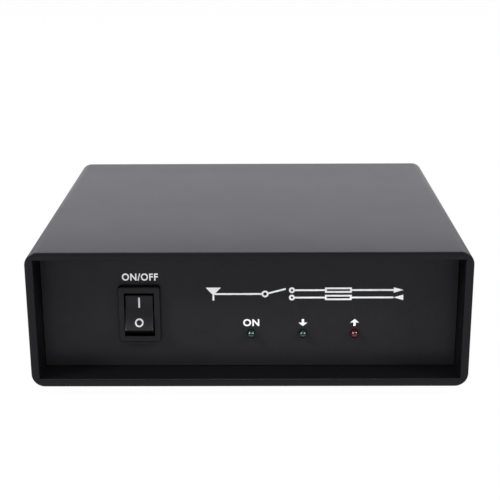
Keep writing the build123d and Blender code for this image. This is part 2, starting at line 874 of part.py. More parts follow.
def relay_terminals(x):
    contact_x = x + moving_contact_offset
    pin_end_z = board_z - pin_tail
    make_strip_z = make_contact_z - rivet_height
    with BuildPart() as terminals:
        for side, low, high in (
            (-1, make_strip_z - strip_thickness, make_strip_z),
            (1, break_contact_z, break_contact_z + strip_thickness),
        ):
            leg_y = relay_y + side * strip_offset
            tongue_start = leg_y + side * strip_thickness / 2
            tongue_end = relay_y - side * strip_margin
            tongue = outline(
                facing_right(contact_x),
                (tongue_start, low),
                (tongue_end, low),
                (tongue_end, high),
                (tongue_start, high),
            )
            extrude(tongue, amount=strip_width / 2, both=True)
            with BuildSketch(Plane((contact_x, leg_y, pin_end_z))):
                Rectangle(pin_width, strip_thickness)
            extrude(amount=high - pin_end_z)
        make_rivet = disc(Plane((contact_x, relay_y, make_strip_z)), rivet_radius)
        extrude(make_rivet, amount=rivet_height)
        for pin_x, pin_y in coil_pin_places(x):
            coil_pin = disc(Plane((pin_x, pin_y, pin_end_z)), coil_pin_radius)
            extrude(coil_pin, amount=board_top_z + relay_base_thickness - pin_end_z)
    return terminals.part


for relay_name, relay_x in relay_xs.items():
    save(relay_base(relay_x), f"{relay_name}_base")
    save(relay_cover(relay_x), f"{relay_name}_cover")
    save(relay_yoke(relay_x), f"{relay_name}_yoke")
    save(relay_coil(relay_x), f"{relay_name}_coil")
    save(relay_armature(relay_x), f"{relay_name}_armature")
    save(relay_terminals(relay_x), f"{relay_name}_terminals")

# Supply capacitor: can with a rolled bead near its foot
with BuildPart() as supply_capacitor:
    with BuildSketch(Plane((capacitor_x, supply_y, board_top_z))):
        Circle(capacitor_diameter / 2)
    extrude(amount=capacitor_height)
    fillet(supply_capacitor.faces().sort_by(Axis.Z)[-1].edges(), capacitor_softening)
    bead_groove = disc(
        Plane((capacitor_x, supply_y, board_top_z + 2 * capacitor_bead)),
        capacitor_diameter / 2 + overrun,
        capacitor_diameter / 2 - capacitor_bead,
    )
    extrude(bead_groove, amount=capacitor_bead, mode=Mode.SUBTRACT)
save(supply_capacitor.part, "supply_capacitor")

# Surge arrester: ceramic barrel between two metal caps, lying on the board
with BuildPart() as surge_arrester:
    arrester_z = board_top_z + insert_play + arrester_diameter / 2
    cap_radius = arrester_diameter / 2
    body_radius = cap_radius - arrester_cap_step
    half_length = arrester_length / 2
    section = outline(
        rear_section(arrester_x, relay_y, arrester_z),
        (0, -half_length),
        (cap_radius, -half_length),
        (cap_radius, arrester_cap_length - half_length),
        (body_radius, arrester_cap_length - half_length),
        (body_radius, half_length - arrester_cap_length),
        (cap_radius, half_length - arrester_cap_length),
        (cap_radius, half_length),
        (0, half_length),
    )
    revolve(section, axis=depth_axis(arrester_x, arrester_z))
save(surge_arrester.part, "surge_arrester")

# Control chip: moulded body on two rows of leads
with BuildPart() as control_chip:
    with BuildSketch(Plane((chip_x, supply_y, board_top_z))):
        Rectangle(chip_length, chip_width)
    extrude(amount=chip_height)
    lead_row = chip_width + chip_lead_reach
    with BuildSketch(Plane((chip_x, supply_y, board_top_z))):
        with GridLocations(chip_lead_pitch, lead_row, chip_leads_per_side, 2):
            Rectangle(chip_lead_width, chip_lead_reach)
    extrude(amount=chip_lead_height)
    foot_row = chip_width + chip_lead_reach - chip_lead_thickness
    with BuildSketch(Plane((chip_x, supply_y, board_top_z))):
        with GridLocations(chip_lead_pitch, foot_row, chip_leads_per_side, 2):
            Rectangle(chip_lead_width, chip_lead_reach - chip_lead_thickness)
    extrude(amount=chip_lead_height - chip_lead_thickness, mode=Mode.SUBTRACT)
save(control_chip.part, "control_chip")


# Antenna and radio sockets: square flange, barrel for the plug's ring, insulator and centre contact
socket_face = socket_flange_thickness + socket_barrel_length
socket_floor = socket_flange_thickness + socket_bore_floor
insulator_face = socket_face - socket_insulator_recess
insulator_tail = sheet + socket_skirt_length


def socket_shell(x):
    with BuildPart() as shell:
        with BuildSketch(facing_rear(x, rear_y, rear_row_z)):
            RectangleRounded(socket_flange, socket_flange, socket_flange_radius)
            with GridLocations(socket_hole_spacing, socket_hole_spacing, 2, 2):
                Circle(screw_hole_radius, mode=Mode.SUBTRACT)
        extrude(amount=socket_flange_thickness)
        with BuildSketch(facing_rear(x, rear_y, rear_row_z)):
            Circle(socket_barrel_diameter / 2)
        extrude(amount=socket_face)
        fillet(shell.faces().sort_by(Axis.Y)[-1].edges(), socket_barrel_softening)
        with BuildSketch(facing_rear(x, rear_y, rear_row_z)):
            Circle(socket_skirt_diameter / 2)
        extrude(amount=-insulator_tail)
        bore = disc(facing_rear(x, rear_y + socket_floor, rear_row_z), socket_bore_diameter / 2)
        extrude(bore, amount=socket_barrel_length + overrun, mode=Mode.SUBTRACT)
        throat = disc(facing_rear(x, rear_y + socket_floor + overrun, rear_row_z), socket_throat_diameter / 2)
        extrude(throat, amount=-(socket_floor + insulator_tail + 2 * overrun), mode=Mode.SUBTRACT)
        with BuildSketch(facing_rear(x, rear_y + socket_face + overrun, rear_row_z)):
            with PolarLocations((socket_bore_diameter + socket_barrel_diameter) / 4, socket_notches):
                Rectangle(socket_barrel_diameter - socket_bore_diameter, socket_notch_width)
        extrude(amount=-(overrun + socket_notch_depth), mode=Mode.SUBTRACT)
    return shell.part


def socket_insulator(x):
    bore_fit = socket_bore_diameter / 2 - insert_play
    throat_fit = socket_throat_diameter / 2 - insert_play
    contact_fit = socket_contact_diameter / 2 + insert_play
    with BuildPart() as insulator:
        section = outline(
            rear_section(x, rear_y, rear_row_z),
            (contact_fit, insulator_face),
            (bore_fit, insulator_face),
            (bore_fit, socket_floor),
            (throat_fit, socket_floor),
            (throat_fit, -insulator_tail),
            (contact_fit, -insulator_tail),
        )
        revolve(section, axis=depth_axis(x, rear_row_z))
    return insulator.part


def socket_contact(x):
    outer = socket_contact_diameter / 2
    bore = socket_contact_bore / 2
    tail = socket_tail_diameter / 2
    bore_end = insulator_face - socket_contact_bore_depth
    with BuildPart() as contact:
        section = outline(
            rear_section(x, rear_y, rear_row_z),
            (bore, insulator_face),
            (outer, insulator_face),
            (outer, -insulator_tail),
            (tail, -insulator_tail),
            (tail, -sheet - socket_tail_length),
            (0, -sheet - socket_tail_length),
            (0, bore_end),
            (bore, bore_end),
        )
        revolve(section, axis=depth_axis(x, rear_row_z))
    return contact.part


for socket_name, socket_x in socket_xs.items():
    save(socket_shell(socket_x), f"{socket_name}_shell")
    save(socket_insulator(socket_x), f"{socket_name}_insulator")
    save(socket_contact(socket_x), f"{socket_name}_contact")

with BuildPart() as socket_screws:
    for x, z in socket_screw_places:
        head_seat = facing_rear(x, rear_y + socket_flange_thickness, z)
        extrude(disc(head_seat, screw_head_diameter / 2), amount=screw_head_height)
        grip = socket_flange_thickness + sheet + socket_nut_height
        extrude(disc(head_seat, screw_radius), amount=-grip)
save(socket_screws.part, "socket_screws")

with BuildPart() as socket_nuts:
    for x, z in socket_screw_places:
        nut_seat = facing_front(x, rear_back_y, z)
        extrude(hex_ring(nut_seat, socket_nut_across_flats, nut_bore_radius), amount=socket_nut_height)
save(socket_nuts.part, "socket_nuts")

# Receiver socket: hexagon and threaded barrel in front of the wall, shank and nut behind it
receiver_face = receiver_reach - receiver_insulator_recess
receiver_back = sheet + receiver_shank_length
receiver_tail_end = receiver_back + receiver_tail_length

with BuildPart() as receiver_socket_shell:
    barrel_radius = receiver_thread_diameter / 2
    bore_radius = receiver_bore_diameter / 2
    hexagon_seat = facing_rear(receiver_x, rear_y, rear_row_z)
    extrude(hex_ring(hexagon_seat, receiver_hex, bore_radius), amount=receiver_hex_height)
    barrel = disc(hexagon_seat.offset(-receiver_back), barrel_radius, bore_radius)
    extrude(barrel, amount=receiver_back + receiver_reach)
save(receiver_socket_shell.part, "receiver_socket_shell")

with BuildPart() as receiver_socket_insulator:
    section = outline(
        rear_section(receiver_x, rear_y, rear_row_z),
        (receiver_contact_diameter / 2 + insert_play, receiver_face),
        (receiver_bore_diameter / 2 - insert_play, receiver_face),
        (receiver_bore_diameter / 2 - insert_play, -receiver_back),
        (receiver_contact_diameter / 2 + insert_play, -receiver_back),
    )
    revolve(section, axis=depth_axis(receiver_x, rear_row_z))
save(receiver_socket_insulator.part, "receiver_socket_insulator")

with BuildPart() as receiver_socket_contact:
    section = outline(
        rear_section(receiver_x, rear_y, rear_row_z),
        (receiver_contact_bore / 2, receiver_face),
        (receiver_contact_diameter / 2, receiver_face),
        (receiver_contact_diameter / 2, -receiver_tail_end),
        (0, -receiver_tail_end),
        (0, receiver_face - receiver_contact_bore_depth),
        (receiver_contact_bore / 2, receiver_face - receiver_contact_bore_depth),
    )
    revolve(section, axis=depth_axis(receiver_x, rear_row_z))
save(receiver_socket_contact.part, "receiver_socket_contact")

with BuildPart() as receiver_socket_nut:
    nut_seat = facing_front(receiver_x, rear_back_y, rear_row_z)
    nut_bore = receiver_thread_diameter / 2 + thread_play
    extrude(hex_ring(nut_seat, receiver_hex, nut_bore), amount=receiver_nut_height)
save(receiver_socket_nut.part, "receiver_socket_nut")

# Keying jack: flanged barrel with a threaded shank through the wall
key_bore_diameter = key_barrel_diameter - 2 * key_barrel_wall
key_face = key_flange_thickness + key_barrel_length
key_insulator_face = key_face - key_insulator_recess
key_shank_end = sheet + key_thread_length

with BuildPart() as key_jack_shell:
    section = outline(
        rear_section(key_x, rear_y, rear_row_z),
        (key_bore_diameter / 2, key_face),
        (key_barrel_diameter / 2, key_face),
        (key_barrel_diameter / 2, key_flange_thickness),
        (key_flange_diameter / 2, key_flange_thickness),
        (key_flange_diameter / 2, 0),
        (key_thread_diameter / 2, 0),
        (key_thread_diameter / 2, -key_shank_end),
        (key_throat_diameter / 2, -key_shank_end),
        (key_throat_diameter / 2, key_flange_thickness),
        (key_bore_diameter / 2, key_flange_thickness),
    )
    revolve(section, axis=depth_axis(key_x, rear_row_z))
save(key_jack_shell.part, "key_jack_shell")

with BuildPart() as key_jack_insulator:
    section = outline(
        rear_section(key_x, rear_y, rear_row_z),
        (key_contact_diameter / 2 + insert_play, key_insulator_face),
        (key_bore_diameter / 2 - insert_play, key_insulator_face),
        (key_bore_diameter / 2 - insert_play, key_flange_thickness),
        (key_throat_diameter / 2 - insert_play, key_flange_thickness),
        (key_throat_diameter / 2 - insert_play, -key_shank_end),
        (key_tail_diameter / 2 + insert_play, -key_shank_end),
        (key_tail_diameter / 2 + insert_play, key_insulator_face - key_contact_bore_depth - insert_play),
        (key_contact_diameter / 2 + insert_play, key_insulator_face - key_contact_bore_depth - insert_play),
    )
    revolve(section, axis=depth_axis(key_x, rear_row_z))
save(key_jack_insulator.part, "key_jack_insulator")

with BuildPart() as key_jack_contact:
    tube_end = key_insulator_face - key_contact_bore_depth
    tube_floor = tube_end + key_contact_diameter / 2 - key_contact_bore / 2
    section = outline(
        rear_section(key_x, rear_y, rear_row_z),
        (key_contact_bore / 2, key_insulator_face),
        (key_contact_diameter / 2, key_insulator_face),
        (key_contact_diameter / 2, tube_end),
        (key_tail_diameter / 2, tube_end),
        (key_tail_diameter / 2, -sheet - key_tail_length),
        (0, -sheet - key_tail_length),
        (0, tube_floor),
        (key_contact_bore / 2, tube_floor),
    )
    revolve(section, axis=depth_axis(key_x, rear_row_z))
save(key_jack_contact.part, "key_jack_contact")

with BuildPart() as key_jack_nut:
    nut_seat = facing_front(key_x, rear_back_y, rear_row_z)
    nut_bore = key_thread_diameter / 2 + thread_play
    extrude(hex_ring(nut_seat, key_nut_across_flats, nut_bore), amount=key_nut_height)
save(key_jack_nut.part, "key_jack_nut")

# Power inlet: moulded body with a round flange outside, centre pin and two tabs at the back
inlet_floor = inlet_flange_thickness - inlet_bore_depth
inlet_back = sheet + inlet_body_length

with BuildPart() as power_inlet_body:
    section = outline(
        rear_section(inlet_x, rear_y, rear_row_z),
        (inlet_bore_diameter / 2, inlet_flange_thickness),
        (inlet_flange_diameter / 2, inlet_flange_thickness),
        (inlet_flange_diameter / 2, 0),
        (inlet_thread_diameter / 2, 0),
        (inlet_thread_diameter / 2, -inlet_back),
        (0, -inlet_back),
        (0, inlet_floor),
        (inlet_bore_diameter / 2, inlet_floor),
    )
    revolve(section, axis=depth_axis(inlet_x, rear_row_z))
    tab_hole = inlet_tab_diameter / 2 + insert_play
    back_plane = facing_front(inlet_x, rear_y + inlet_floor + overrun, rear_row_z)
    extrude(disc(back_plane, tab_hole), amount=inlet_back + inlet_floor + 2 * overrun, mode=Mode.SUBTRACT)
    side_plane = facing_front(inlet_x - inlet_tab_offset, rear_y - inlet_back - overrun, rear_row_z)
    side_depth = (inlet_back + inlet_floor) / 2 + overrun
    extrude(disc(side_plane, tab_hole), amount=-side_depth, mode=Mode.SUBTRACT)
save(power_inlet_body.part, "power_inlet_body")

with BuildPart() as power_inlet_contacts:
    pin_face = inlet_flange_thickness - inlet_pin_recess
    tab_end = -inlet_back - inlet_tab_length
    section = outline(
        rear_section(inlet_x, rear_y, rear_row_z),
        (0, pin_face),
        (inlet_pin_diameter / 2, pin_face),
        (inlet_pin_diameter / 2, inlet_floor),
        (inlet_tab_diameter / 2, inlet_floor),
        (inlet_tab_diameter / 2, tab_end),
        (0, tab_end),
    )
    revolve(section, axis=depth_axis(inlet_x, rear_row_z))
    side_tab_start = facing_front(inlet_x - inlet_tab_offset, rear_y - inlet_back, rear_row_z)
    side_tab_seat = (inlet_back + inlet_floor) / 2
    side_tab = disc(side_tab_start.offset(-side_tab_seat), inlet_tab_diameter / 2)
    extrude(side_tab, amount=side_tab_seat + inlet_tab_length)
save(power_inlet_contacts.part, "power_inlet_contacts")

with BuildPart() as power_inlet_nut:
    nut_seat = facing_front(inlet_x, rear_back_y, rear_row_z)
    nut_bore = inlet_thread_diameter / 2 + thread_play
    extrude(hex_ring(nut_seat, inlet_nut_across_flats, nut_bore), amount=inlet_nut_height)
save(power_inlet_nut.part, "power_inlet_nut")

# Ground stud: bolt from inside with a clamping nut, then the nut for the wire's lug
with BuildPart() as ground_stud:
    stud_seat = facing_rear(ground_x, rear_back_y, rear_row_z)
    extrude(hex_ring(stud_seat, ground_head_across_flats, 0), amount=-ground_head_height)
    extrude(disc(stud_seat, ground_stud_diameter / 2), amount=sheet + ground_stud_reach)
save(ground_stud.part, "ground_stud")

with BuildPart() as ground_nuts:
    nut_bore = ground_stud_diameter / 2 + thread_play
    for nut_y in (rear_y, rear_y + ground_nut_height + ground_lug_gap):
        nut_seat = facing_rear(ground_x, nut_y, rear_row_z)
        extrude(hex_ring(nut_seat, ground_head_across_flats, nut_bore), amount=ground_nut_height)
save(ground_nuts.part, "ground_nuts")


# Wires from the sockets and the switch down to the board
def drop_wire(x, start_y, start_z, run):
    return round_lead([(x, start_y, start_z), (x, start_y + run, start_z), (x, start_y + run, board_top_z)])


with BuildPart() as socket_wires:
    for socket_x in socket_xs.values():
        add(drop_wire(socket_x, rear_back_y - socket_tail_length, rear_row_z, -wire_run))
    add(drop_wire(receiver_x, rear_y - receiver_tail_end, rear_row_z, -wire_run))
    add(drop_wire(key_x, rear_back_y - key_tail_length, rear_row_z, -wire_run))
save(socket_wires.part, "socket_wires")

with BuildPart() as supply_wires:
    tab_end_rear_y = rear_back_y - inlet_body_length - inlet_tab_length
    add(drop_wire(inlet_x, tab_end_rear_y, rear_row_z, -wire_run))
    add(drop_wire(inlet_x - inlet_tab_offset, tab_end_rear_y, rear_row_z, -wire_run))
    add(drop_wire(switch_x, tab_end_y, switch_z, wire_run))
    add(drop_wire(switch_x, tab_end_y, make_z, wire_run - 2 * wire_diameter))
save(supply_wires.part, "supply_wires")
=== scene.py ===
import json
from math import atan2, ceil, cos, pi, radians, sin, sqrt

import bmesh
import bpy
from mathutils import Matrix, Vector


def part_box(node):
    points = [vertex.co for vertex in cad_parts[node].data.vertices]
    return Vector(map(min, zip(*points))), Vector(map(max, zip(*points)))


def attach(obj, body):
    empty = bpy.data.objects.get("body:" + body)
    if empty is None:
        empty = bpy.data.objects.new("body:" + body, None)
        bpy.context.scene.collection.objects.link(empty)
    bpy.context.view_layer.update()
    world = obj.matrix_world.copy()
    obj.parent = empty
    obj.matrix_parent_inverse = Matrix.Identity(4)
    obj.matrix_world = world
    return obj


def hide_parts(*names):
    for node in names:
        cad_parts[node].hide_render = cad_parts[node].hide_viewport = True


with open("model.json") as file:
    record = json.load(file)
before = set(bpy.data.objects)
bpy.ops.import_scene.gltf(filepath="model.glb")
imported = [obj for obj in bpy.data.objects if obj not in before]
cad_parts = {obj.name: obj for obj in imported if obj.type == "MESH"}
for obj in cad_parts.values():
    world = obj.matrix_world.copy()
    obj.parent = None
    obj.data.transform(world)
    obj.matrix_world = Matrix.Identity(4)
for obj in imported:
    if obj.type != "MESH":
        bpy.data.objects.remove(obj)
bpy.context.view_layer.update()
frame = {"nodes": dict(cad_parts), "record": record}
record = frame["record"]
mm = 0.001
print("frame loaded with", len(frame["nodes"]), "nodes")


# Shader maths: one output socket, with arithmetic on it

class Wire:
    def __init__(self, tree, socket=None):
        self.tree = tree
        self.socket = socket

    def node(self, kind, settings, inputs, output=0):
        made = self.tree.nodes.new(kind)
        for name, value in settings.items():
            setattr(made, name, value)
        for name, value in inputs.items():
            if isinstance(value, Wire):
                self.tree.links.new(value.socket, made.inputs[name])
            else:
                made.inputs[name].default_value = value
        return Wire(self.tree, made.outputs[output])

    def maths(self, operation, first, second):
        return self.node("ShaderNodeMath", {"operation": operation}, {0: first, 1: second})

    def __add__(self, other):
        return self.maths("ADD", self, other)

    __radd__ = __add__

    def __sub__(self, other):
        return self.maths("SUBTRACT", self, other)

    def __rsub__(self, other):
        return self.maths("SUBTRACT", other, self)

    def __mul__(self, other):
        return self.maths("MULTIPLY", self, other)

    __rmul__ = __mul__

    def noise(self, scale, detail=3.0, rough=0.55):
        inputs = {"Vector": self, "Scale": scale, "Detail": detail, "Roughness": rough}
        return self.node("ShaderNodeTexNoise", {}, inputs)

    def stretched(self, scale):
        return self.node("ShaderNodeMapping", {}, {"Vector": self, "Scale": scale})

    def between(self, low, high):
        settings = {"interpolation_type": "SMOOTHSTEP"}
        return self.node("ShaderNodeMapRange", settings, {"Value": self, "From Min": low, "From Max": high})

    def blended(self, first, second):  # 6, 7 and 2 are the Mix node's colour sockets
        return self.node("ShaderNodeMix", {"data_type": "RGBA"}, {0: self, 6: first, 7: second}, 2)

    def part(self, axis):
        return self.node("ShaderNodeSeparateXYZ", {}, {0: self}, axis)

    def rays(self, kind):
        return self.node("ShaderNodeLightPath", {}, {}, kind)

    def into(self, target):
        self.tree.links.new(self.socket, target)


# Finishes. Places are in metres, so a noise scale of 4000 gives grains of a quarter millimetre

grainMix = {"speck": (0.35, 0.75), "cloudShare": 0.7, "speckShare": 0.3, "dark": 0.8, "pale": 1.2}
brushMix = {"lineRough": 0.65, "lineShare": 0.6, "cloudShare": 0.4, "cloudSpread": 0.5,
            "dark": 0.82, "pale": 1.12}
windMix = {"wobble": 0.4, "turnShare": 0.7, "cloudShare": 0.3, "dark": 0.45, "pale": 1.15}
trackMix = {"stagger": 0.37, "gap": 0.035, "soft": 0.2, "trackShare": 0.75, "weaveShare": 0.25,
            "weaveRelief": 0.2}


def shade(colour, factor):
    return tuple(part * factor for part in colour) + (1.0,)


def toned(mask, colour, mix):
    return mask.blended(shade(colour, mix["dark"]), shade(colour, mix["pale"]))


def startMaterial(name):
    material = bpy.data.materials.new(name)
    material.use_nodes = True
    tree = material.node_tree
    surface = tree.nodes["Principled BSDF"]
    place = Wire(tree).node("ShaderNodeTexCoord", {}, {}, "Object")
    return material, surface, place


def feed(surface, tone, rough, height, look):
    tone.into(surface.inputs["Base Color"])
    rough.into(surface.inputs["Roughness"])
    inputs = {"Height": height, "Strength": look["relief"], "Distance": look["depth"]}
    height.node("ShaderNodeBump", {}, inputs).into(surface.inputs["Normal"])
    for name, value in look.get("sockets", {}).items():
        surface.inputs[name].default_value = value


def grainedFinish(name, look):
    material, surface, place = startMaterial(name)
    mix = grainMix
    grain = place.noise(look["grain"], detail=2.0)
    cloud = place.noise(look["cloud"], detail=4.0)
    speck = grain.between(*mix["speck"])
    tone = toned(cloud * mix["cloudShare"] + speck * mix["speckShare"], look["colour"], mix)
    rough = look["rough"] + (cloud - 0.5) * look["spread"] + (speck - 0.5) * look["spread"]
    feed(surface, tone, rough, grain, look)
    return material


def brushedFinish(name, look):
    material, surface, place = startMaterial(name)
    mix = brushMix
    lines = place.stretched(look["stretch"]).noise(1.0, detail=4.0, rough=mix["lineRough"])
    cloud = place.noise(look["cloud"])
    tone = toned(lines * mix["lineShare"] + cloud * mix["cloudShare"], look["colour"], mix)
    clouded = (cloud - 0.5) * look["spread"] * mix["cloudSpread"]
    feed(surface, tone, look["rough"] + (lines - 0.5) * look["spread"] + clouded, lines, look)
    return material


def woundFinish(name, look):
    material, surface, place = startMaterial(name)
    mix = windMix
    inputs = {"Vector": place, "Scale": look["turns"], "Distortion": mix["wobble"]}
    turns = place.node("ShaderNodeTexWave", {"bands_direction": "Z"}, inputs, "Fac")
    cloud = place.noise(look["cloud"])
    tone = toned(turns * mix["turnShare"] + cloud * mix["cloudShare"], look["colour"], mix)
    feed(surface, tone, look["rough"] + (cloud - 0.5) * look["spread"], turns, look)
    return material


def laminateFinish(name, look):
    material, surface, place = startMaterial(name)
    mix = trackMix
    inputs = {"Vector": place, "Scale": look["tracks"], "Mortar Size": mix["gap"],
              "Mortar Smooth": mix["soft"]}
    tracks = place.node("ShaderNodeTexBrick", {"offset": mix["stagger"]}, inputs, "Fac")
    weave = place.noise(look["grain"], detail=2.0)
    mask = tracks * mix["trackShare"] + weave * mix["weaveShare"]
    tone = mask.blended(shade(look["colour"], 1.0), shade(look["track"], 1.0))
    rough = look["rough"] + (weave - 0.5) * look["spread"]
    feed(surface, tone, rough, tracks + weave * mix["weaveRelief"], look)
    return material


def varied(look, **changes):
    return {**look, **changes}


bareMetal = {"Metallic": 1.0}
blackPaint = {"colour": (0.0025, 0.0025, 0.0029), "rough": 0.36, "spread": 0.05, "grain": 4200, "cloud": 60,
              "relief": 0.16, "depth": 0.00004,
              "sockets": {"Specular IOR Level": 0.21, "Specular Tint": (0.94, 0.94, 1.0, 1.0)}}
fasciaPaint = varied(blackPaint, colour=(0.0145, 0.0145, 0.0158), rough=0.3, grain=5200,
                     sockets={"Specular IOR Level": 0.115, "Specular Tint": (0.92, 0.92, 1.0, 1.0)})
mouldedBlack = {"colour": (0.0038, 0.0038, 0.0042), "rough": 0.48, "spread": 0.05, "grain": 5200,
                "cloud": 150, "relief": 0.12, "depth": 0.00003,
                "sockets": {"Specular IOR Level": 0.27, "Specular Tint": (0.95, 0.95, 1.0, 1.0)}}
rubberBlack = varied(mouldedBlack, colour=(0.016, 0.016, 0.016), rough=0.7, grain=2600, relief=0.3)
chipBlack = varied(mouldedBlack, colour=(0.017, 0.017, 0.018), rough=0.6, grain=3600, relief=0.3)
lampLens = varied(mouldedBlack, rough=0.06, spread=0.02, relief=0.02, sockets={"Specular IOR Level": 0.72})
paleInsulator = {"colour": (0.72, 0.71, 0.67), "rough": 0.42, "spread": 0.08, "grain": 2600, "cloud": 240,
                 "relief": 0.1, "depth": 0.00003,
                 "sockets": {"Subsurface Weight": 0.15, "Subsurface Scale": 0.001}}
steelScrew = {"colour": (0.42, 0.42, 0.43), "rough": 0.32, "spread": 0.16, "stretch": (900, 900, 3500),
              "cloud": 400, "relief": 0.12, "depth": 0.00003, "sockets": bareMetal}
nickelPlate = varied(steelScrew, colour=(0.6, 0.58, 0.54), rough=0.2, spread=0.1, relief=0.06)
copperWinding = {"colour": (0.62, 0.26, 0.11), "turns": 900, "cloud": 300, "rough": 0.3, "spread": 0.1,
                 "relief": 0.5, "depth": 0.0001, "sockets": bareMetal}
greenLaminate = {"colour": (0.012, 0.13, 0.04), "track": (0.03, 0.2, 0.07), "tracks": 240, "grain": 2600,
                 "rough": 0.35, "spread": 0.1, "relief": 0.4, "depth": 0.00004}
finishLooks = {
    "case_finish": (grainedFinish, blackPaint),
    "fascia_finish": (grainedFinish, fasciaPaint),
    "chassis_finish": (grainedFinish, varied(blackPaint, rough=0.4)),
    "foot_rubber": (grainedFinish, rubberBlack),
    "zinc_steel": (brushedFinish, steelScrew),
    "switch_plastic": (grainedFinish, mouldedBlack),
    "green_lens": (grainedFinish, varied(lampLens, colour=(0.0018, 0.017, 0.011))),
    "red_lens": (grainedFinish, varied(lampLens, colour=(0.045, 0.0022, 0.0035))),
    "tinned_wire": (brushedFinish, varied(steelScrew, colour=(0.6, 0.6, 0.6), rough=0.28)),
    "board_laminate": (laminateFinish, greenLaminate),
    "relay_case": (grainedFinish, varied(mouldedBlack, colour=(0.012, 0.03, 0.16), rough=0.34)),
    "relay_base": (grainedFinish, varied(mouldedBlack, colour=(0.02, 0.02, 0.022), rough=0.5)),
    "soft_iron": (brushedFinish, varied(steelScrew, colour=(0.36, 0.35, 0.34), rough=0.45)),
    "copper_winding": (woundFinish, copperWinding),
    "contact_metal": (brushedFinish, varied(steelScrew, colour=(0.66, 0.5, 0.26), rough=0.3)),
    "nickel_plate": (brushedFinish, nickelPlate),
    "socket_insulator": (grainedFinish, paleInsulator),
    "gold_plate": (brushedFinish, varied(nickelPlate, colour=(0.83, 0.58, 0.22))),
    "key_insulator": (grainedFinish, varied(paleInsulator, colour=(0.68, 0.68, 0.66))),
    "inlet_plastic": (grainedFinish, varied(mouldedBlack, colour=(0.01, 0.01, 0.011), rough=0.38)),
    "capacitor_can": (grainedFinish, varied(mouldedBlack, colour=(0.02, 0.02, 0.05), rough=0.3)),
    "arrester_ceramic": (grainedFinish, varied(paleInsulator, colour=(0.66, 0.6, 0.55))),
    "chip_mould": (grainedFinish, chipBlack),
    "wire_sheath": (grainedFinish, varied(mouldedBlack, colour=(0.4, 0.015, 0.012), rough=0.4)),
    "bare_copper": (brushedFinish, varied(steelScrew, colour=(0.6, 0.28, 0.14), rough=0.3)),
}
inkLook = {"colour": (0.86, 0.86, 0.88), "rough": 0.45, "spread": 0.08, "grain": 6000, "cloud": 500,
           "relief": 0.08, "depth": 0.00002}

finishes = {}
for slotName, (makeFinish, look) in finishLooks.items():
    finishes[slotName] = makeFinish(slotName, look)
ink = grainedFinish("legend_ink", inkLook)
mouldedWhite = grainedFinish("moulded_white", varied(inkLook, colour=(0.46, 0.46, 0.48)))
for part in record["subparts"]:
    node = frame["nodes"][part["node"]]
    if not node.material_slots:
        node.data.materials.append(None)
    for materialSlot in node.material_slots:
        materialSlot.material = finishes[part["material_slot"]]
print("finishes made:", len(finishes))


# Helpers for new pieces, which are all drawn in millimetres

weld = 1e-5  # corners nearer than this become one
carvedWeld = 5e-4  # the same after a Boolean step, which leaves slivers
level = 1e-6  # heights nearer than this count as the same
overrun = 1.0  # how far a cutting tool stands out of what it cuts


def linked(name, data):
    item = bpy.data.objects.new(name, data)
    bpy.context.scene.collection.objects.link(item)
    return item


def boxOf(node):
    low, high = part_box(node)
    return Vector(low) / mm, Vector(high) / mm


def middleOf(node):
    low, high = boxOf(node)
    return (low + high) / 2


def meshFrom(bm, name):
    bmesh.ops.remove_doubles(bm, verts=bm.verts, dist=weld)
    bmesh.ops.recalc_face_normals(bm, faces=bm.faces)
    mesh = bpy.data.meshes.new(name)
    bm.to_mesh(mesh)
    bm.free()
    return mesh


def takenFrom(mesh):
    bm = bmesh.new()
    bm.from_mesh(mesh)
    bpy.data.meshes.remove(mesh)
    return bm


def evaluatedMesh(item):
    bpy.context.view_layer.update()
    graph = bpy.context.evaluated_depsgraph_get()
    return bpy.data.meshes.new_from_object(item.evaluated_get(graph))


def placeMesh(name, mesh, body, slot, replaced=(), smooth=35, material=None):
    mesh.transform(Matrix.Scale(mm, 4))
    for polygon in mesh.polygons:
        polygon.use_smooth = True
    mesh.set_sharp_from_angle(angle=radians(smooth))
    mesh.materials.clear()
    mesh.materials.append(material or finishes[slot])
    piece = linked(name, mesh)
    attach(piece, body)
    if replaced:
        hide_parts(*replaced)


def placePiece(name, bm, body, slot, replaced=(), smooth=35, material=None):
    placeMesh(name, meshFrom(bm, name), body, slot, replaced, smooth, material)


# Boolean steps, applied at once: each step is an operation and the shape that does it
def carved(bm, steps):
    base = linked("base", meshFrom(bm, "base"))
    tools = []
    for operation, shape in steps:
        tool = linked("tool", meshFrom(shape, "tool"))
        modifier = base.modifiers.new(operation, "BOOLEAN")
        modifier.operation = operation
        modifier.solver = "EXACT"
        modifier.object = tool
        tools.append(tool)
    bm = takenFrom(evaluatedMesh(base))
    for item in [base] + tools:
        used = item.data
        bpy.data.objects.remove(item)
        bpy.data.meshes.remove(used)
    bmesh.ops.remove_doubles(bm, verts=bm.verts, dist=carvedWeld)
    bmesh.ops.dissolve_degenerate(bm, edges=bm.edges, dist=carvedWeld)
    return meshFrom(bm, "carved")


# A closed profile of (radius, height) points, spun about the local Z. A third number rounds that corner
def turned(profile, steps=64):
    bm = bmesh.new()
    corners = [bm.verts.new((point[0], 0, point[1])) for point in profile]
    bm.faces.new(corners)
    for corner, point in zip(corners, profile):
        if len(point) == 3:
            bmesh.ops.bevel(bm, geom=[corner], offset=point[2], affect="VERTICES", segments=5,
                            profile=0.5, material=-1)
    bmesh.ops.delete(bm, geom=bm.faces[:], context="FACES_ONLY")
    bmesh.ops.spin(bm, geom=bm.verts[:] + bm.edges[:], cent=(0, 0, 0), axis=(0, 0, 1), dvec=(0, 0, 0),
                   angle=2 * pi, steps=steps, use_merge=True)
    bmesh.ops.remove_doubles(bm, verts=bm.verts, dist=weld)
    bmesh.ops.dissolve_degenerate(bm, edges=bm.edges, dist=weld)
    return bm


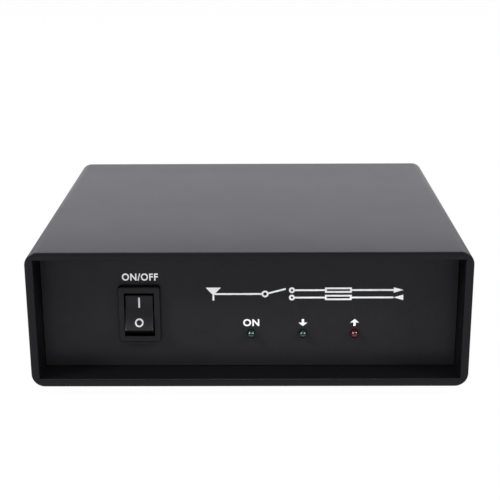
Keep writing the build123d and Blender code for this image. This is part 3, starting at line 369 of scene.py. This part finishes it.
def drum(radius, low, high, steps=48, x=0, y=0):
    bm = turned([(0, low), (radius, low), (radius, high), (0, high)], steps)
    bmesh.ops.translate(bm, verts=bm.verts, vec=(x, y, 0))
    return bm


# A plate from low to high, with round corners and a soft upper rim where they are given
def slab(width, height, low, high, corner=0, soft=0):
    bm = bmesh.new()
    bmesh.ops.create_cube(bm, size=1)
    bmesh.ops.scale(bm, verts=bm.verts, vec=(width, height, high - low))
    bmesh.ops.translate(bm, verts=bm.verts, vec=(0, 0, (low + high) / 2))
    if corner:
        uprights = [edge for edge in bm.edges if abs((edge.verts[0].co - edge.verts[1].co).z) > level]
        bmesh.ops.bevel(bm, geom=uprights, offset=corner, affect="EDGES", segments=8, profile=0.5,
                        material=-1)
    if soft:
        rim = [edge for edge in bm.edges if all(abs(end.co.z - high) < level for end in edge.verts)]
        bmesh.ops.bevel(bm, geom=rim, offset=soft, affect="EDGES", segments=3, profile=0.5, material=-1)
    return bm


def crossCut(length, width, low, high):
    return [("DIFFERENCE", slab(*sides, low, high)) for sides in ((length, width), (width, length))]


def pullFaces(bm, way):
    pulled = bmesh.ops.extrude_face_region(bm, geom=bm.faces[:], use_keep_orig=True)
    moved = [item for item in pulled["geom"] if isinstance(item, bmesh.types.BMVert)]
    bmesh.ops.translate(bm, verts=moved, vec=way)


def hexagon(acrossFlats, low, high):
    bm = bmesh.new()
    bmesh.ops.create_circle(bm, cap_ends=True, segments=6, radius=acrossFlats / sqrt(3))
    bmesh.ops.rotate(bm, verts=bm.verts, cent=(0, 0, 0), matrix=Matrix.Rotation(pi / 6, 3, "Z"))
    pullFaces(bm, (0, 0, high - low))
    bmesh.ops.translate(bm, verts=bm.verts, vec=(0, 0, low))
    return bm


gaugeLook = {"inside": 0.1, "spare": 0.05, "slope": 0.5, "steps": 96}


# The turned body that takes a nut's corners off at both ends
def cornerGauge(acrossFlats, low, high):
    flat = acrossFlats / 2 - gaugeLook["inside"]
    wide = acrossFlats / sqrt(3) + gaugeLook["spare"]
    fall = (wide - flat) * gaugeLook["slope"]
    profile = [(0, low), (flat, low), (wide, low + fall), (wide, high - fall), (flat, high), (0, high)]
    return turned(profile, gaugeLook["steps"])


# One turn of thread, as shares of its depth and pitch, and what its ends lose in radius
threadLook = {"form": [(0, 0), (0, 0.12), (1, 0.45), (1, 0.62), (0, 1)], "runIn": 1.5, "spareTurns": 3,
              "neckDrop": 0.15, "neckSlope": 0.25, "tipDrop": 0.1, "weld": 1e-4, "cutLevel": 1e-3,
              "flat": radians(0.05)}


# A rod with a screw thread from low nearly up to its reach, necked down to start and chamfered at the end
def threadedRod(look, start, low):
    bm = bmesh.new()
    pitch, depth, steps = look["pitch"], look["threadDepth"], look["threadSteps"]
    root = look["crest"] - depth
    end = look["reach"]
    high = end - look["lead"]
    turns = ceil((high - low) / pitch) + threadLook["spareTurns"]
    corners = []
    for rise, share in threadLook["form"]:
        corners.append(bm.verts.new((root + rise * depth, 0, low + (share - threadLook["runIn"]) * pitch)))
    edges = [bm.edges.new((corners[i], corners[i + 1])) for i in range(len(corners) - 1)]
    bmesh.ops.spin(bm, geom=corners + edges, cent=(0, 0, 0), axis=(0, 0, 1), dvec=(0, 0, pitch / steps),
                   angle=2 * pi * turns, steps=steps * turns, use_merge=False)
    bmesh.ops.remove_doubles(bm, verts=bm.verts, dist=threadLook["weld"])
    for height, side in ((low, -1), (high, 1)):
        bmesh.ops.bisect_plane(bm, geom=bm.verts[:] + bm.edges[:] + bm.faces[:], dist=weld, clear_outer=True,
                               plane_co=(0, 0, height), plane_no=(0, 0, side))
    neck = root - threadLook["neckDrop"]
    neckPath = [(neck, low - threadLook["neckSlope"]), (neck, start)]
    tipPath = [(root - threadLook["tipDrop"], end)]
    for height, path in ((low, neckPath), (high, tipPath)):
        rim = [edge for edge in bm.edges
               if edge.is_boundary and abs(edge.verts[0].co.z - height) < threadLook["cutLevel"]]
        for radius, rimLevel in path:
            rim = stepRim(bm, rim, radius, rimLevel)
        bmesh.ops.edgeloop_fill(bm, edges=rim)
    twisted = [face for face in bm.faces if len(face.verts) == 4]  # a cut would fold these
    bmesh.ops.connect_verts_nonplanar(bm, angle_limit=threadLook["flat"], faces=twisted)
    return bm


def stepRim(bm, rim, radius, rimLevel):
    made = bmesh.ops.extrude_edge_only(bm, edges=rim)["geom"]
    for item in made:
        if isinstance(item, bmesh.types.BMVert):
            reach = sqrt(item.co.x ** 2 + item.co.y ** 2)
            item.co = (item.co.x * radius / reach, item.co.y * radius / reach, rimLevel)
    return [item for item in made if isinstance(item, bmesh.types.BMEdge)]


# Camera, matched to the case's outline in the picture of 500 by 500

cameraLook = {"spot": (3.962 * mm, -440.943 * mm, 170.452 * mm), "pitch": 0.3030, "yaw": -0.0096,
              "roll": 0.0055, "lens": 81.49, "sensor": 36.0, "nearest": 0.01}
camera = linked("camera", bpy.data.cameras.new("camera"))
camera.data.lens = cameraLook["lens"]
camera.data.sensor_width = cameraLook["sensor"]
camera.data.clip_start = cameraLook["nearest"]
camera.matrix_world = (Matrix.Translation(cameraLook["spot"])
                       @ Matrix.Rotation(-cameraLook["yaw"], 4, "Z")
                       @ Matrix.Rotation(pi / 2 - cameraLook["pitch"], 4, "X")
                       @ Matrix.Rotation(-cameraLook["roll"], 4, "Z"))
bpy.context.scene.camera = camera
print("camera set")


# Floor, world and lamps. Floor and world show white to the camera, and metal mirrors that white, which
# dims overhead and low on the camera's side, as in a studio with a white cove. Ranges are of a unit vector

stageLook = {"floorSize": 6.0, "floorTone": 0.8, "floorWhite": 0.98, "ambient": 0.5, "lampAim": (0, 0, 0.03),
             "ceiling": 0.6, "ceilingRange": (0.35, 1.0), "room": 0.2, "canopy": 1.0,
             "canopyRange": (0.25, 0.75), "backRange": (-0.4, 0.2), "mirrorTint": (0.955, 0.95, 1.0, 1.0)}
white = (1.0, 1.0, 1.0, 1.0)
lampLooks = {
    "keyLeft": {"spot": (-0.95, -0.45, 0.83), "size": (0.34, 0.34), "power": 18.0, "colour": (1, 1, 1)},
    "fillRight": {"spot": (0.95, -0.45, 0.83), "size": (0.34, 0.34), "power": 14.0, "colour": (1, 1, 1)},
    "overhead": {"spot": (0.0, -0.33, 1.1), "size": (0.5, 0.26), "power": 3.6, "colour": (1, 1, 1)},
    "backTop": {"spot": (0.0, 1.2, 0.8), "size": (2.0, 0.6), "power": 5.2, "colour": (0.91, 0.89, 1)},
}


def makeFloor():
    bm = bmesh.new()
    bmesh.ops.create_grid(bm, x_segments=1, y_segments=1, size=stageLook["floorSize"] / 2)
    mesh = meshFrom(bm, "floor")
    floor = linked("floor", mesh)
    material = bpy.data.materials.new("floor")
    material.use_nodes = True
    tree = material.node_tree
    tree.nodes.remove(tree.nodes["Principled BSDF"])
    start = Wire(tree)
    ground = start.node("ShaderNodeBsdfDiffuse", {}, {"Color": shade(white[:3], stageLook["floorTone"])})
    glow = start.node("ShaderNodeEmission", {}, {"Color": white, "Strength": 1.0})
    shown = start.rays("Is Camera Ray") + start.rays("Is Glossy Ray") + start.rays("Is Transmission Ray")
    seen = start.maths("MINIMUM", shown, 1.0) * stageLook["floorWhite"]
    mixed = start.node("ShaderNodeMixShader", {}, {0: seen, 1: ground, 2: glow})
    clear = start.node("ShaderNodeBsdfTransparent", {}, {"Color": white})
    below = start.node("ShaderNodeNewGeometry", {}, {}, "Backfacing")
    whole = start.node("ShaderNodeMixShader", {}, {0: below, 1: mixed, 2: clear})  # open to a view from below
    whole.into(tree.nodes["Material Output"].inputs["Surface"])
    mesh.materials.append(material)


def makeWorld():
    world = bpy.data.worlds.new("studio")
    bpy.context.scene.world = world
    world.use_nodes = True
    tree = world.node_tree
    sky = tree.nodes["Background"]
    start = Wire(tree)
    aim = start.node("ShaderNodeTexCoord", {}, {}, "Generated")
    behind = aim.part("Y").between(*stageLook["backRange"])
    above = aim.part("Z").between(*stageLook["ceilingRange"])
    lifted = aim.part("Z").between(*stageLook["canopyRange"])
    front = stageLook["room"] + lifted * (stageLook["canopy"] - stageLook["room"])
    back = 1 - above * (1 - stageLook["ceiling"])
    mirrored = front + behind * (back - front)
    ambient = stageLook["ambient"]
    shown = start.maths("MINIMUM", start.rays("Is Camera Ray") + start.rays("Is Transmission Ray"), 1.0)
    glossy = start.rays("Is Glossy Ray")
    strength = ambient + shown * (1 - ambient) + glossy * (mirrored - ambient)
    strength.into(sky.inputs["Strength"])
    glossy.blended(white, stageLook["mirrorTint"]).into(sky.inputs["Color"])


def makeLamp(name, look):
    lamp = linked(name, bpy.data.lights.new(name, "AREA"))
    lamp.data.shape = "RECTANGLE"
    lamp.data.size, lamp.data.size_y = look["size"]
    lamp.data.energy = look["power"]
    lamp.data.color = look["colour"]
    lamp.location = look["spot"]
    aim = Vector(stageLook["lampAim"]) - lamp.location
    lamp.rotation_euler = aim.to_track_quat("-Z", "Y").to_euler()


makeFloor()
makeWorld()
for lampName, look in lampLooks.items():
    makeLamp(lampName, look)
bpy.context.scene.view_settings.view_transform = "Standard"
print("stage and lamps set")


# Case sleeve: a quarter of its section, mirrored twice and pulled to its depth, then drilled for the feet

sleeveLook = {"wall": 2.9, "corner": 4.7, "cornerSteps": 10, "rim": 0.45, "rimSteps": 3, "hole": 1.7,
              "holeSteps": 32, "weld": 1e-4}
feet = ["foot_front_left", "foot_front_right", "foot_rear_left", "foot_rear_right"]
footSpots = [middleOf(foot) for foot in feet]


def makeSleeve():
    look = sleeveLook
    low, high = boxOf("case_sleeve")
    centre = (low + high) / 2
    halfX, halfZ = (high.x - low.x) / 2, (high.z - low.z) / 2
    innerX, innerZ = halfX - look["wall"], halfZ - look["wall"]
    bm = bmesh.new()
    section = [(0, innerZ), (0, halfZ), (halfX, halfZ), (halfX, 0), (innerX, 0), (innerX, innerZ)]
    corners = [bm.verts.new((x, 0, z)) for x, z in section]
    bm.faces.new(corners)
    bmesh.ops.bevel(bm, geom=[corners[2]], offset=look["corner"], affect="VERTICES", profile=0.5,
                    segments=look["cornerSteps"], material=-1)
    for axis in ("X", "Z"):
        bmesh.ops.mirror(bm, geom=bm.verts[:] + bm.edges[:] + bm.faces[:], axis=axis, merge_dist=look["weld"])
    bmesh.ops.remove_doubles(bm, verts=bm.verts, dist=look["weld"])
    pullFaces(bm, (0, high.y - low.y, 0))
    bmesh.ops.recalc_face_normals(bm, faces=bm.faces)
    rims = [edge for edge in bm.edges if edge.is_manifold
            and sorted(abs(round(face.normal.y)) for face in edge.link_faces) == [0, 1]]
    bmesh.ops.bevel(bm, geom=rims, offset=look["rim"], affect="EDGES", profile=0.5,
                    segments=look["rimSteps"], material=-1, clamp_overlap=True)
    bmesh.ops.translate(bm, verts=bm.verts, vec=(centre.x, low.y, centre.z))
    bottom, top = low.z - overrun, low.z + look["wall"] + overrun
    holes = [("DIFFERENCE", drum(look["hole"], bottom, top, look["holeSteps"], spot.x, spot.y))
             for spot in footSpots]
    placeMesh("caseShell", carved(bm, holes), "case", "case_finish", ["case_sleeve"], smooth=40)


makeSleeve()
print("sleeve made")


# Feet and screws. Each screw stops with its cross at an angle of its own

footLook = {"profile": [(1.7, 4.0), (1.7, 2.6), (3.3, 2.6), (3.3, 0.0, 0.35), (5.22, 0.0, 0.6),
                        (5.5, 1.5, 0.12), (5.34, 1.75), (5.34, 2.05), (5.64, 2.3, 0.12), (5.98, 4.0, 0.1)],
            "steps": 72, "screwSeat": 2.6, "screwLength": 8.5, "firstTurn": 0.5}
screwLook = {"rise": 2.0, "radius": 2.8, "dome": 1.35, "edge": 0.12, "shank": 1.5, "steps": 48,
             "recess": (3.3, 0.8), "recessDepth": 1.25, "recessOver": 0.6, "taper": 0.55}


def crossBar(turn):
    look = screwLook
    bm = slab(*look["recess"], look["rise"] - look["recessDepth"], look["rise"] + look["recessOver"])
    deep = [corner for corner in bm.verts if corner.co.z < look["rise"]]
    bmesh.ops.scale(bm, verts=deep, vec=(look["taper"], look["taper"], 1))
    bmesh.ops.rotate(bm, verts=bm.verts, cent=(0, 0, 0), matrix=Matrix.Rotation(turn, 3, "Z"))
    return bm


def makeScrews(name, node, length, places):
    look = screwLook
    rise, radius, shank = look["rise"], look["radius"], look["shank"]
    profile = [(0, rise), (radius, rise, look["dome"]), (radius, 0, look["edge"]), (shank, 0),
               (shank, -length), (0, -length)]
    bars = [("DIFFERENCE", crossBar(turn)) for turn in (0.0, pi / 2)]
    screw = carved(turned(profile, look["steps"]), bars)
    together = bmesh.new()
    for place in places:
        copy = screw.copy()
        copy.transform(place)
        together.from_mesh(copy)
        bpy.data.meshes.remove(copy)
    bpy.data.meshes.remove(screw)
    placePiece(name, together, "case", "zinc_steel", [node])


footScrewPlaces = []
for foot, spot in zip(feet, footSpots):
    bm = turned(footLook["profile"], footLook["steps"])
    bmesh.ops.translate(bm, verts=bm.verts, vec=(spot.x, spot.y, 0))
    placePiece(foot + "_rubber", bm, "case", "foot_rubber", [foot], smooth=40)
    seat = Matrix.Translation((spot.x, spot.y, footLook["screwSeat"]))
    turn = Matrix.Rotation(footLook["firstTurn"] + spot.x, 4, "Z")
    footScrewPlaces.append(seat @ turn @ Matrix.Rotation(pi, 4, "X"))
makeScrews("footScrewHeads", "foot_screws", footLook["screwLength"], footScrewPlaces)
print("feet made")


# Rear row. Each piece is drawn with its axis along Z, from the rear wall's face outwards, and laid along Y

wallY = boxOf("chassis")[1].y
rearTurn = Matrix.Rotation(-pi / 2, 4, "X")


def placeRear(name, mesh, node, slot):
    spot = middleOf(node)
    mesh.transform(Matrix.Translation((spot.x, wallY, spot.z)) @ rearTurn)
    placeMesh(name, mesh, "case", slot, [node])


socketLook = {"flange": 25.4, "corner": 1.5, "plate": 1.6, "soft": 0.25, "hole": 1.7, "holeSteps": 32,
              "spacing": 18.2, "crest": 7.94, "pitch": 1.06, "threadDepth": 0.55, "threadSteps": 56,
              "runOut": 0.9, "lead": 0.55, "reach": 12.6, "throat": 4.4, "throatTop": 4.0, "skirt": 5.7,
              "mouth": [(0, 3.0), (6.2, 3.0), (6.2, 12.2), (6.55, 12.6), (6.55, 14.0), (0, 14.0)],
              "tail": -5.2, "notch": 1.5, "notchFloor": 11.43, "notchTop": 14.0, "notchLength": 20.0,
              "steps": 64, "screwLength": 5.2, "firstTurn": 0.4, "sideTurn": 1.3}
contactLook = {"profile": [(2.5, 10.4, 0.1), (2.5, -5.2), (1.5, -5.2), (1.5, -9.2), (0, -9.2), (0, 1.9),
                           (2.025, 1.9), (2.025, 10.4, 0.2)],
               "slit": 0.4, "slitFloor": 4.6, "slitTop": 12.0, "slitLength": 6.0}


def flangeCorners():
    half = socketLook["spacing"] / 2
    return [(side, rise) for side in (-half, half) for rise in (-half, half)]


def makeSocket(name):
    look = socketLook
    middle = look["plate"] / 2
    steps = [("UNION", threadedRod(look, middle, look["plate"] + look["runOut"])),
             ("UNION", drum(look["skirt"], look["tail"], middle, look["steps"])),
             ("DIFFERENCE", turned(look["mouth"], look["steps"])),
             ("DIFFERENCE", drum(look["throat"], look["tail"] - overrun, look["throatTop"], look["steps"]))]
    steps += crossCut(look["notchLength"], look["notch"], look["notchFloor"], look["notchTop"])
    for side, rise in flangeCorners():
        hole = drum(look["hole"], -overrun, look["plate"] + overrun, look["holeSteps"], side, rise)
        steps.append(("DIFFERENCE", hole))
    plate = slab(look["flange"], look["flange"], 0, look["plate"], look["corner"], look["soft"])
    placeRear(name + "_thread", carved(plate, steps), name + "_shell", "nickel_plate")


def makeContact(name):
    look = contactLook
    slits = crossCut(look["slitLength"], look["slit"], look["slitFloor"], look["slitTop"])
    placeRear(name + "_spring", carved(turned(look["profile"]), slits), name + "_contact", "gold_plate")


socketScrewPlaces = []
for socketName in ("antenna_socket", "radio_socket"):
    makeSocket(socketName)
    makeContact(socketName)
    spot = middleOf(socketName + "_shell")
    for side, rise in flangeCorners():
        turn = socketLook["firstTurn"] + side * socketLook["sideTurn"] + rise + spot.x
        seat = Matrix.Translation((spot.x + side, wallY + socketLook["plate"], spot.z + rise))
        socketScrewPlaces.append(seat @ rearTurn @ Matrix.Rotation(turn, 4, "Z"))
makeScrews("socketScrewHeads", "socket_screws", socketLook["screwLength"], socketScrewPlaces)
print("coaxial sockets made")

receiverLook = {"crest": 3.175, "pitch": 0.706, "threadDepth": 0.36, "threadSteps": 40, "runOut": 0.7,
                "lead": 0.4, "reach": 9.6, "hex": 8.0, "hexTop": 2.4, "gaugeLow": -0.2, "bore": 2.1,
                "tail": -6.2}


def makeReceiver():
    look = receiverLook
    middle = look["hexTop"] / 2
    steps = [("INTERSECT", cornerGauge(look["hex"], look["gaugeLow"], look["hexTop"])),
             ("UNION", threadedRod(look, middle, look["hexTop"] + look["runOut"])),
             ("UNION", drum(look["crest"], look["tail"], middle)),
             ("DIFFERENCE", drum(look["bore"], look["tail"] - overrun, look["reach"] + overrun))]
    shell = carved(hexagon(look["hex"], 0, look["hexTop"]), steps)
    placeRear("receiver_socket_thread", shell, "receiver_socket_shell", "gold_plate")


keyLook = {"profile": [(3.5, 10.2, 0.25), (4.15, 10.2, 0.3), (4.15, 2.1), (3.98, 1.9), (3.98, 1.2),
                       (5.5, 1.2, 0.3), (5.5, 0.0), (3.0, 0.0), (3.0, -8.2), (1.6, -8.2), (1.6, 1.2),
                       (3.5, 1.2)]}
inletLook = {"profile": [(3.2, 1.55), (3.55, 2.0), (4.5, 2.0), (4.6, 1.8), (5.1, 1.8), (5.2, 2.0),
                         (7.0, 2.0, 0.5), (7.0, 0.0), (5.4, 0.0), (5.4, -15.2), (0, -15.2), (0, -8.0),
                         (3.2, -8.0)],
             "tailHole": 0.85, "tailSteps": 24, "tailStart": -16.0, "tails": [(0.0, -7.5), (-3.2, -11.6)]}


def makeKeyJack():
    barrel = meshFrom(turned(keyLook["profile"]), "keyJack")
    placeRear("key_jack_barrel", barrel, "key_jack_shell", "nickel_plate")


def makeInlet():
    look = inletLook
    steps = [("DIFFERENCE", drum(look["tailHole"], look["tailStart"], top, look["tailSteps"], x))
             for x, top in look["tails"]]
    inlet = carved(turned(look["profile"]), steps)
    placeRear("power_inlet_ring", inlet, "power_inlet_body", "inlet_plastic")


groundLook = {"crest": 2.0, "pitch": 0.7, "threadDepth": 0.4, "threadSteps": 36, "threadLow": 0.1,
              "lead": 0.45, "reach": 11.0, "hex": 7.0, "head": -4.0, "seat": -1.2, "sunk": 0.5,
              "nuts": [(0.0, 3.2), (4.2, 7.4)], "bore": 2.05}


def makeGround():
    look = groundLook
    thread = threadedRod(look, look["seat"] - look["sunk"], look["threadLow"])
    stud = carved(hexagon(look["hex"], look["head"], look["seat"]), [("UNION", thread)])
    placeRear("ground_stud_thread", stud, "ground_stud", "zinc_steel")
    together = bmesh.new()
    for low, high in look["nuts"]:
        steps = [("INTERSECT", cornerGauge(look["hex"], low, high)),
                 ("DIFFERENCE", drum(look["bore"], low - overrun, high + overrun))]
        nut = carved(hexagon(look["hex"], low, high), steps)
        together.from_mesh(nut)
        bpy.data.meshes.remove(nut)
    placeRear("ground_nut_pair", meshFrom(together, "groundNuts"), "ground_nuts", "zinc_steel")


makeReceiver()
makeKeyJack()
makeInlet()
makeGround()
print("other rear parts made")


# Legends: flat ink on the fascia, drawn in its own (x, z) and standing a little proud of it

legendLook = {"proud": 0.03, "stroke": 0.66}
fasciaY = boxOf("front_fascia")[0].y
frontTurn = Matrix.Translation((0, fasciaY, 0)) @ Matrix.Rotation(pi / 2, 4, "X")


def freshVerts(bm, before):
    bm.verts.index_update()
    bm.verts.ensure_lookup_table()
    return bm.verts[before:]


def inkBar(bm, first, last, width, cuts=1):
    start, way = Vector(first), Vector(last) - Vector(first)
    before = len(bm.verts)
    bmesh.ops.create_grid(bm, x_segments=1, y_segments=cuts, size=0.5)
    made = freshVerts(bm, before)
    bmesh.ops.scale(bm, verts=made, vec=(width, way.length, 1))
    turn = Matrix.Rotation(atan2(way.y, way.x) - pi / 2, 3, "Z")
    bmesh.ops.rotate(bm, verts=made, cent=(0, 0, 0), matrix=turn)
    bmesh.ops.translate(bm, verts=made, vec=(*(start + way / 2), 0))


def inkFrame(bm, first, last, width, stroke):
    known = set(bm.faces)
    inkBar(bm, first, last, width)
    whole = [face for face in bm.faces if face not in known]
    bmesh.ops.inset_region(bm, faces=whole, thickness=stroke, use_boundary=True, use_even_offset=True)
    bmesh.ops.delete(bm, geom=whole, context="FACES")


def inkRing(bm, x, z, radius, stroke, steps=40):
    before = len(bm.verts)
    ends = [bm.verts.new((radius + side * stroke / 2, 0, 0)) for side in (-1, 1)]
    bmesh.ops.spin(bm, geom=ends + [bm.edges.new(ends)], cent=(0, 0, 0), axis=(0, 0, 1), dvec=(0, 0, 0),
                   angle=2 * pi, steps=steps, use_merge=True)
    bmesh.ops.translate(bm, verts=freshVerts(bm, before), vec=(x, z, 0))


def inkWedge(bm, *points):
    bm.faces.new([bm.verts.new((x, z, 0)) for x, z in points])


def thickened(bm, depth):
    bmesh.ops.recalc_face_normals(bm, faces=bm.faces)
    pullFaces(bm, (0, 0, depth))


def placeLegend(name, bm):
    thickened(bm, legendLook["proud"])
    bmesh.ops.transform(bm, matrix=frontTurn, verts=bm.verts)
    placePiece(name, bm, "case", "fascia_finish", smooth=20, material=ink)


lamps = ["power_led", "receive_led", "transmit_led"]
lampXs = [middleOf(lamp).x for lamp in lamps]
wordLook = {"spacing": 1.12, "curveSteps": 6}
switchWord = {"text": "ON/OFF", "x": (-45.4, -32.6), "z": (39.8, 42.5), "bold": 0.022}
lampWord = {"text": "ON", "x": (lampXs[0] - 2.9, lampXs[0] + 2.9), "z": (22.35, 25.05), "bold": 0.028}
arrowLook = {"width": 3.2, "stroke": 0.85, "neckShare": 0.5}


# Lettering fitted to its box of low and high x and z
def makeWord(name, look):
    curve = bpy.data.curves.new(name, "FONT")
    curve.body = look["text"]
    curve.size = 1
    curve.offset = look["bold"]
    curve.space_character = wordLook["spacing"]
    curve.resolution_u = wordLook["curveSteps"]
    holder = linked(name, curve)
    bm = takenFrom(evaluatedMesh(holder))
    bpy.data.objects.remove(holder)
    bpy.data.curves.remove(curve)
    bmesh.ops.remove_doubles(bm, verts=bm.verts, dist=weld)
    xs = [corner.co.x for corner in bm.verts]
    ys = [corner.co.y for corner in bm.verts]
    lowX, highX = look["x"]
    lowZ, highZ = look["z"]
    scaleX, scaleZ = (highX - lowX) / (max(xs) - min(xs)), (highZ - lowZ) / (max(ys) - min(ys))
    fit = Matrix.Translation((lowX, lowZ, 0)) @ Matrix.Diagonal((scaleX, scaleZ, 1, 1))
    fit = fit @ Matrix.Translation((-min(xs), -min(ys), 0))
    bmesh.ops.transform(bm, matrix=fit, verts=bm.verts)
    placeLegend(name, bm)


def inkArrow(bm, x, tail, tip):
    neck = tail + (tip - tail) * arrowLook["neckShare"]
    half = arrowLook["width"] / 2
    inkBar(bm, (x, tail), (x, neck), arrowLook["stroke"])
    inkWedge(bm, (x - half, neck), (x + half, neck), (x, tip))


# An arrow in over the lamp for receiving, and an arrow out over the lamp for sending
def makeArrows():
    low, high = lampWord["z"]
    bm = bmesh.new()
    inkArrow(bm, lampXs[1], high, low)
    inkArrow(bm, lampXs[2], low, high)
    placeLegend("lampArrowLegend", bm)


schematicLook = {"low": 32.2, "high": 37.1, "mast": (-15.6, 5.4, 3.0), "hub": 5.6, "hubRing": 0.95,
                 "blade": 13.0, "bladeStart": 0.3, "bladeEnd": 0.55, "stops": 15.2, "stopRing": 0.75,
                 "box": (27.0, 36.6, 1.0), "tip": (51.5, 55.0, 1.05), "gap": 0.02}


# An aerial on its line, a changeover contact, and the two ways that lead away from it
def makeSchematic():
    look = schematicLook
    low, high, gap = look["low"], look["high"], look["gap"]
    middle = (low + high) / 2
    stroke = legendLook["stroke"]
    half = stroke / 2
    left, width, fall = look["mast"]
    mast = left + width / 2
    hub, stops = look["hub"], look["stops"]
    hubEdge, stopEdge = look["hubRing"] + half, look["stopRing"] + half
    bm = bmesh.new()
    inkWedge(bm, (left, high), (left + width, high), (mast, high - fall))
    inkBar(bm, (mast, high - fall + half), (mast, low), stroke)
    inkBar(bm, (mast + half, middle), (hub - hubEdge, middle), stroke)
    inkRing(bm, hub, middle, look["hubRing"], stroke)
    inkBar(bm, (hub + hubEdge, middle + look["bladeStart"]), (look["blade"], high - look["bladeEnd"]), stroke)
    boxLeft, boxRight, boxHalf = look["box"]
    tipLeft, tipRight, tipHalf = look["tip"]
    ways = [(low + tipHalf, tipRight, tipLeft), (high - tipHalf, tipLeft, tipRight)]
    for z, base, point in ways:
        inkRing(bm, stops, z, look["stopRing"], stroke)
        inkBar(bm, (stops + stopEdge, z), (boxLeft - gap, z), stroke)
        inkFrame(bm, (boxLeft, z), (boxRight, z), boxHalf * 2, stroke)
        inkBar(bm, (boxRight + gap, z), (tipLeft - gap, z), stroke)
        inkWedge(bm, (base, z - tipHalf), (base, z + tipHalf), (point, z))
    placeLegend("schematicLegend", bm)


makeWord("switchLegend", switchWord)
makeSchematic()
makeWord("lampOnLegend", lampWord)
makeArrows()
print("legends made")


# Marks on the rocker, bent onto its dished face

pivotJoint = next(joint for joint in record["behaviour"]["joints"] if joint["name"] == "rocker_pivot")
rockerLook = {"tilt": radians(15), "lipReach": 6.3, "lipHeight": 4.2, "valley": 3.0, "sunk": 0.03,
              "proud": 0.03, "barLow": 1.9, "barHigh": 5.6, "barWidth": 0.6, "barCuts": 12,
              "ringMiddle": -3.5, "ringRadius": 1.27, "ringStroke": 0.52, "ringSteps": 48}


def dishPoint(across, along, lift):
    look = rockerLook
    sag = look["lipHeight"] - look["valley"]
    radius = (look["lipReach"] ** 2 + sag ** 2) / (2 * sag)
    height = look["valley"] + radius - sqrt(radius ** 2 - along ** 2) + lift
    tilt = look["tilt"]
    up = Vector((0, sin(tilt), cos(tilt)))
    outward = Vector((0, -cos(tilt), sin(tilt)))
    return Vector(pivotJoint["pos_m"]) / mm + Vector((across, 0, 0)) + up * along + outward * height


def makeRockerMarks():
    look = rockerLook
    bm = bmesh.new()
    inkBar(bm, (0, look["barLow"]), (0, look["barHigh"]), look["barWidth"], look["barCuts"])
    inkRing(bm, 0, look["ringMiddle"], look["ringRadius"], look["ringStroke"], look["ringSteps"])
    thickened(bm, look["proud"] + look["sunk"])
    for corner in bm.verts:
        corner.co = dishPoint(corner.co.x, corner.co.y, corner.co.z - look["sunk"])
    placePiece("rockerMarks", bm, "rocker", "switch_plastic", smooth=30, material=mouldedWhite)


makeRockerMarks()
print("rocker marks made")
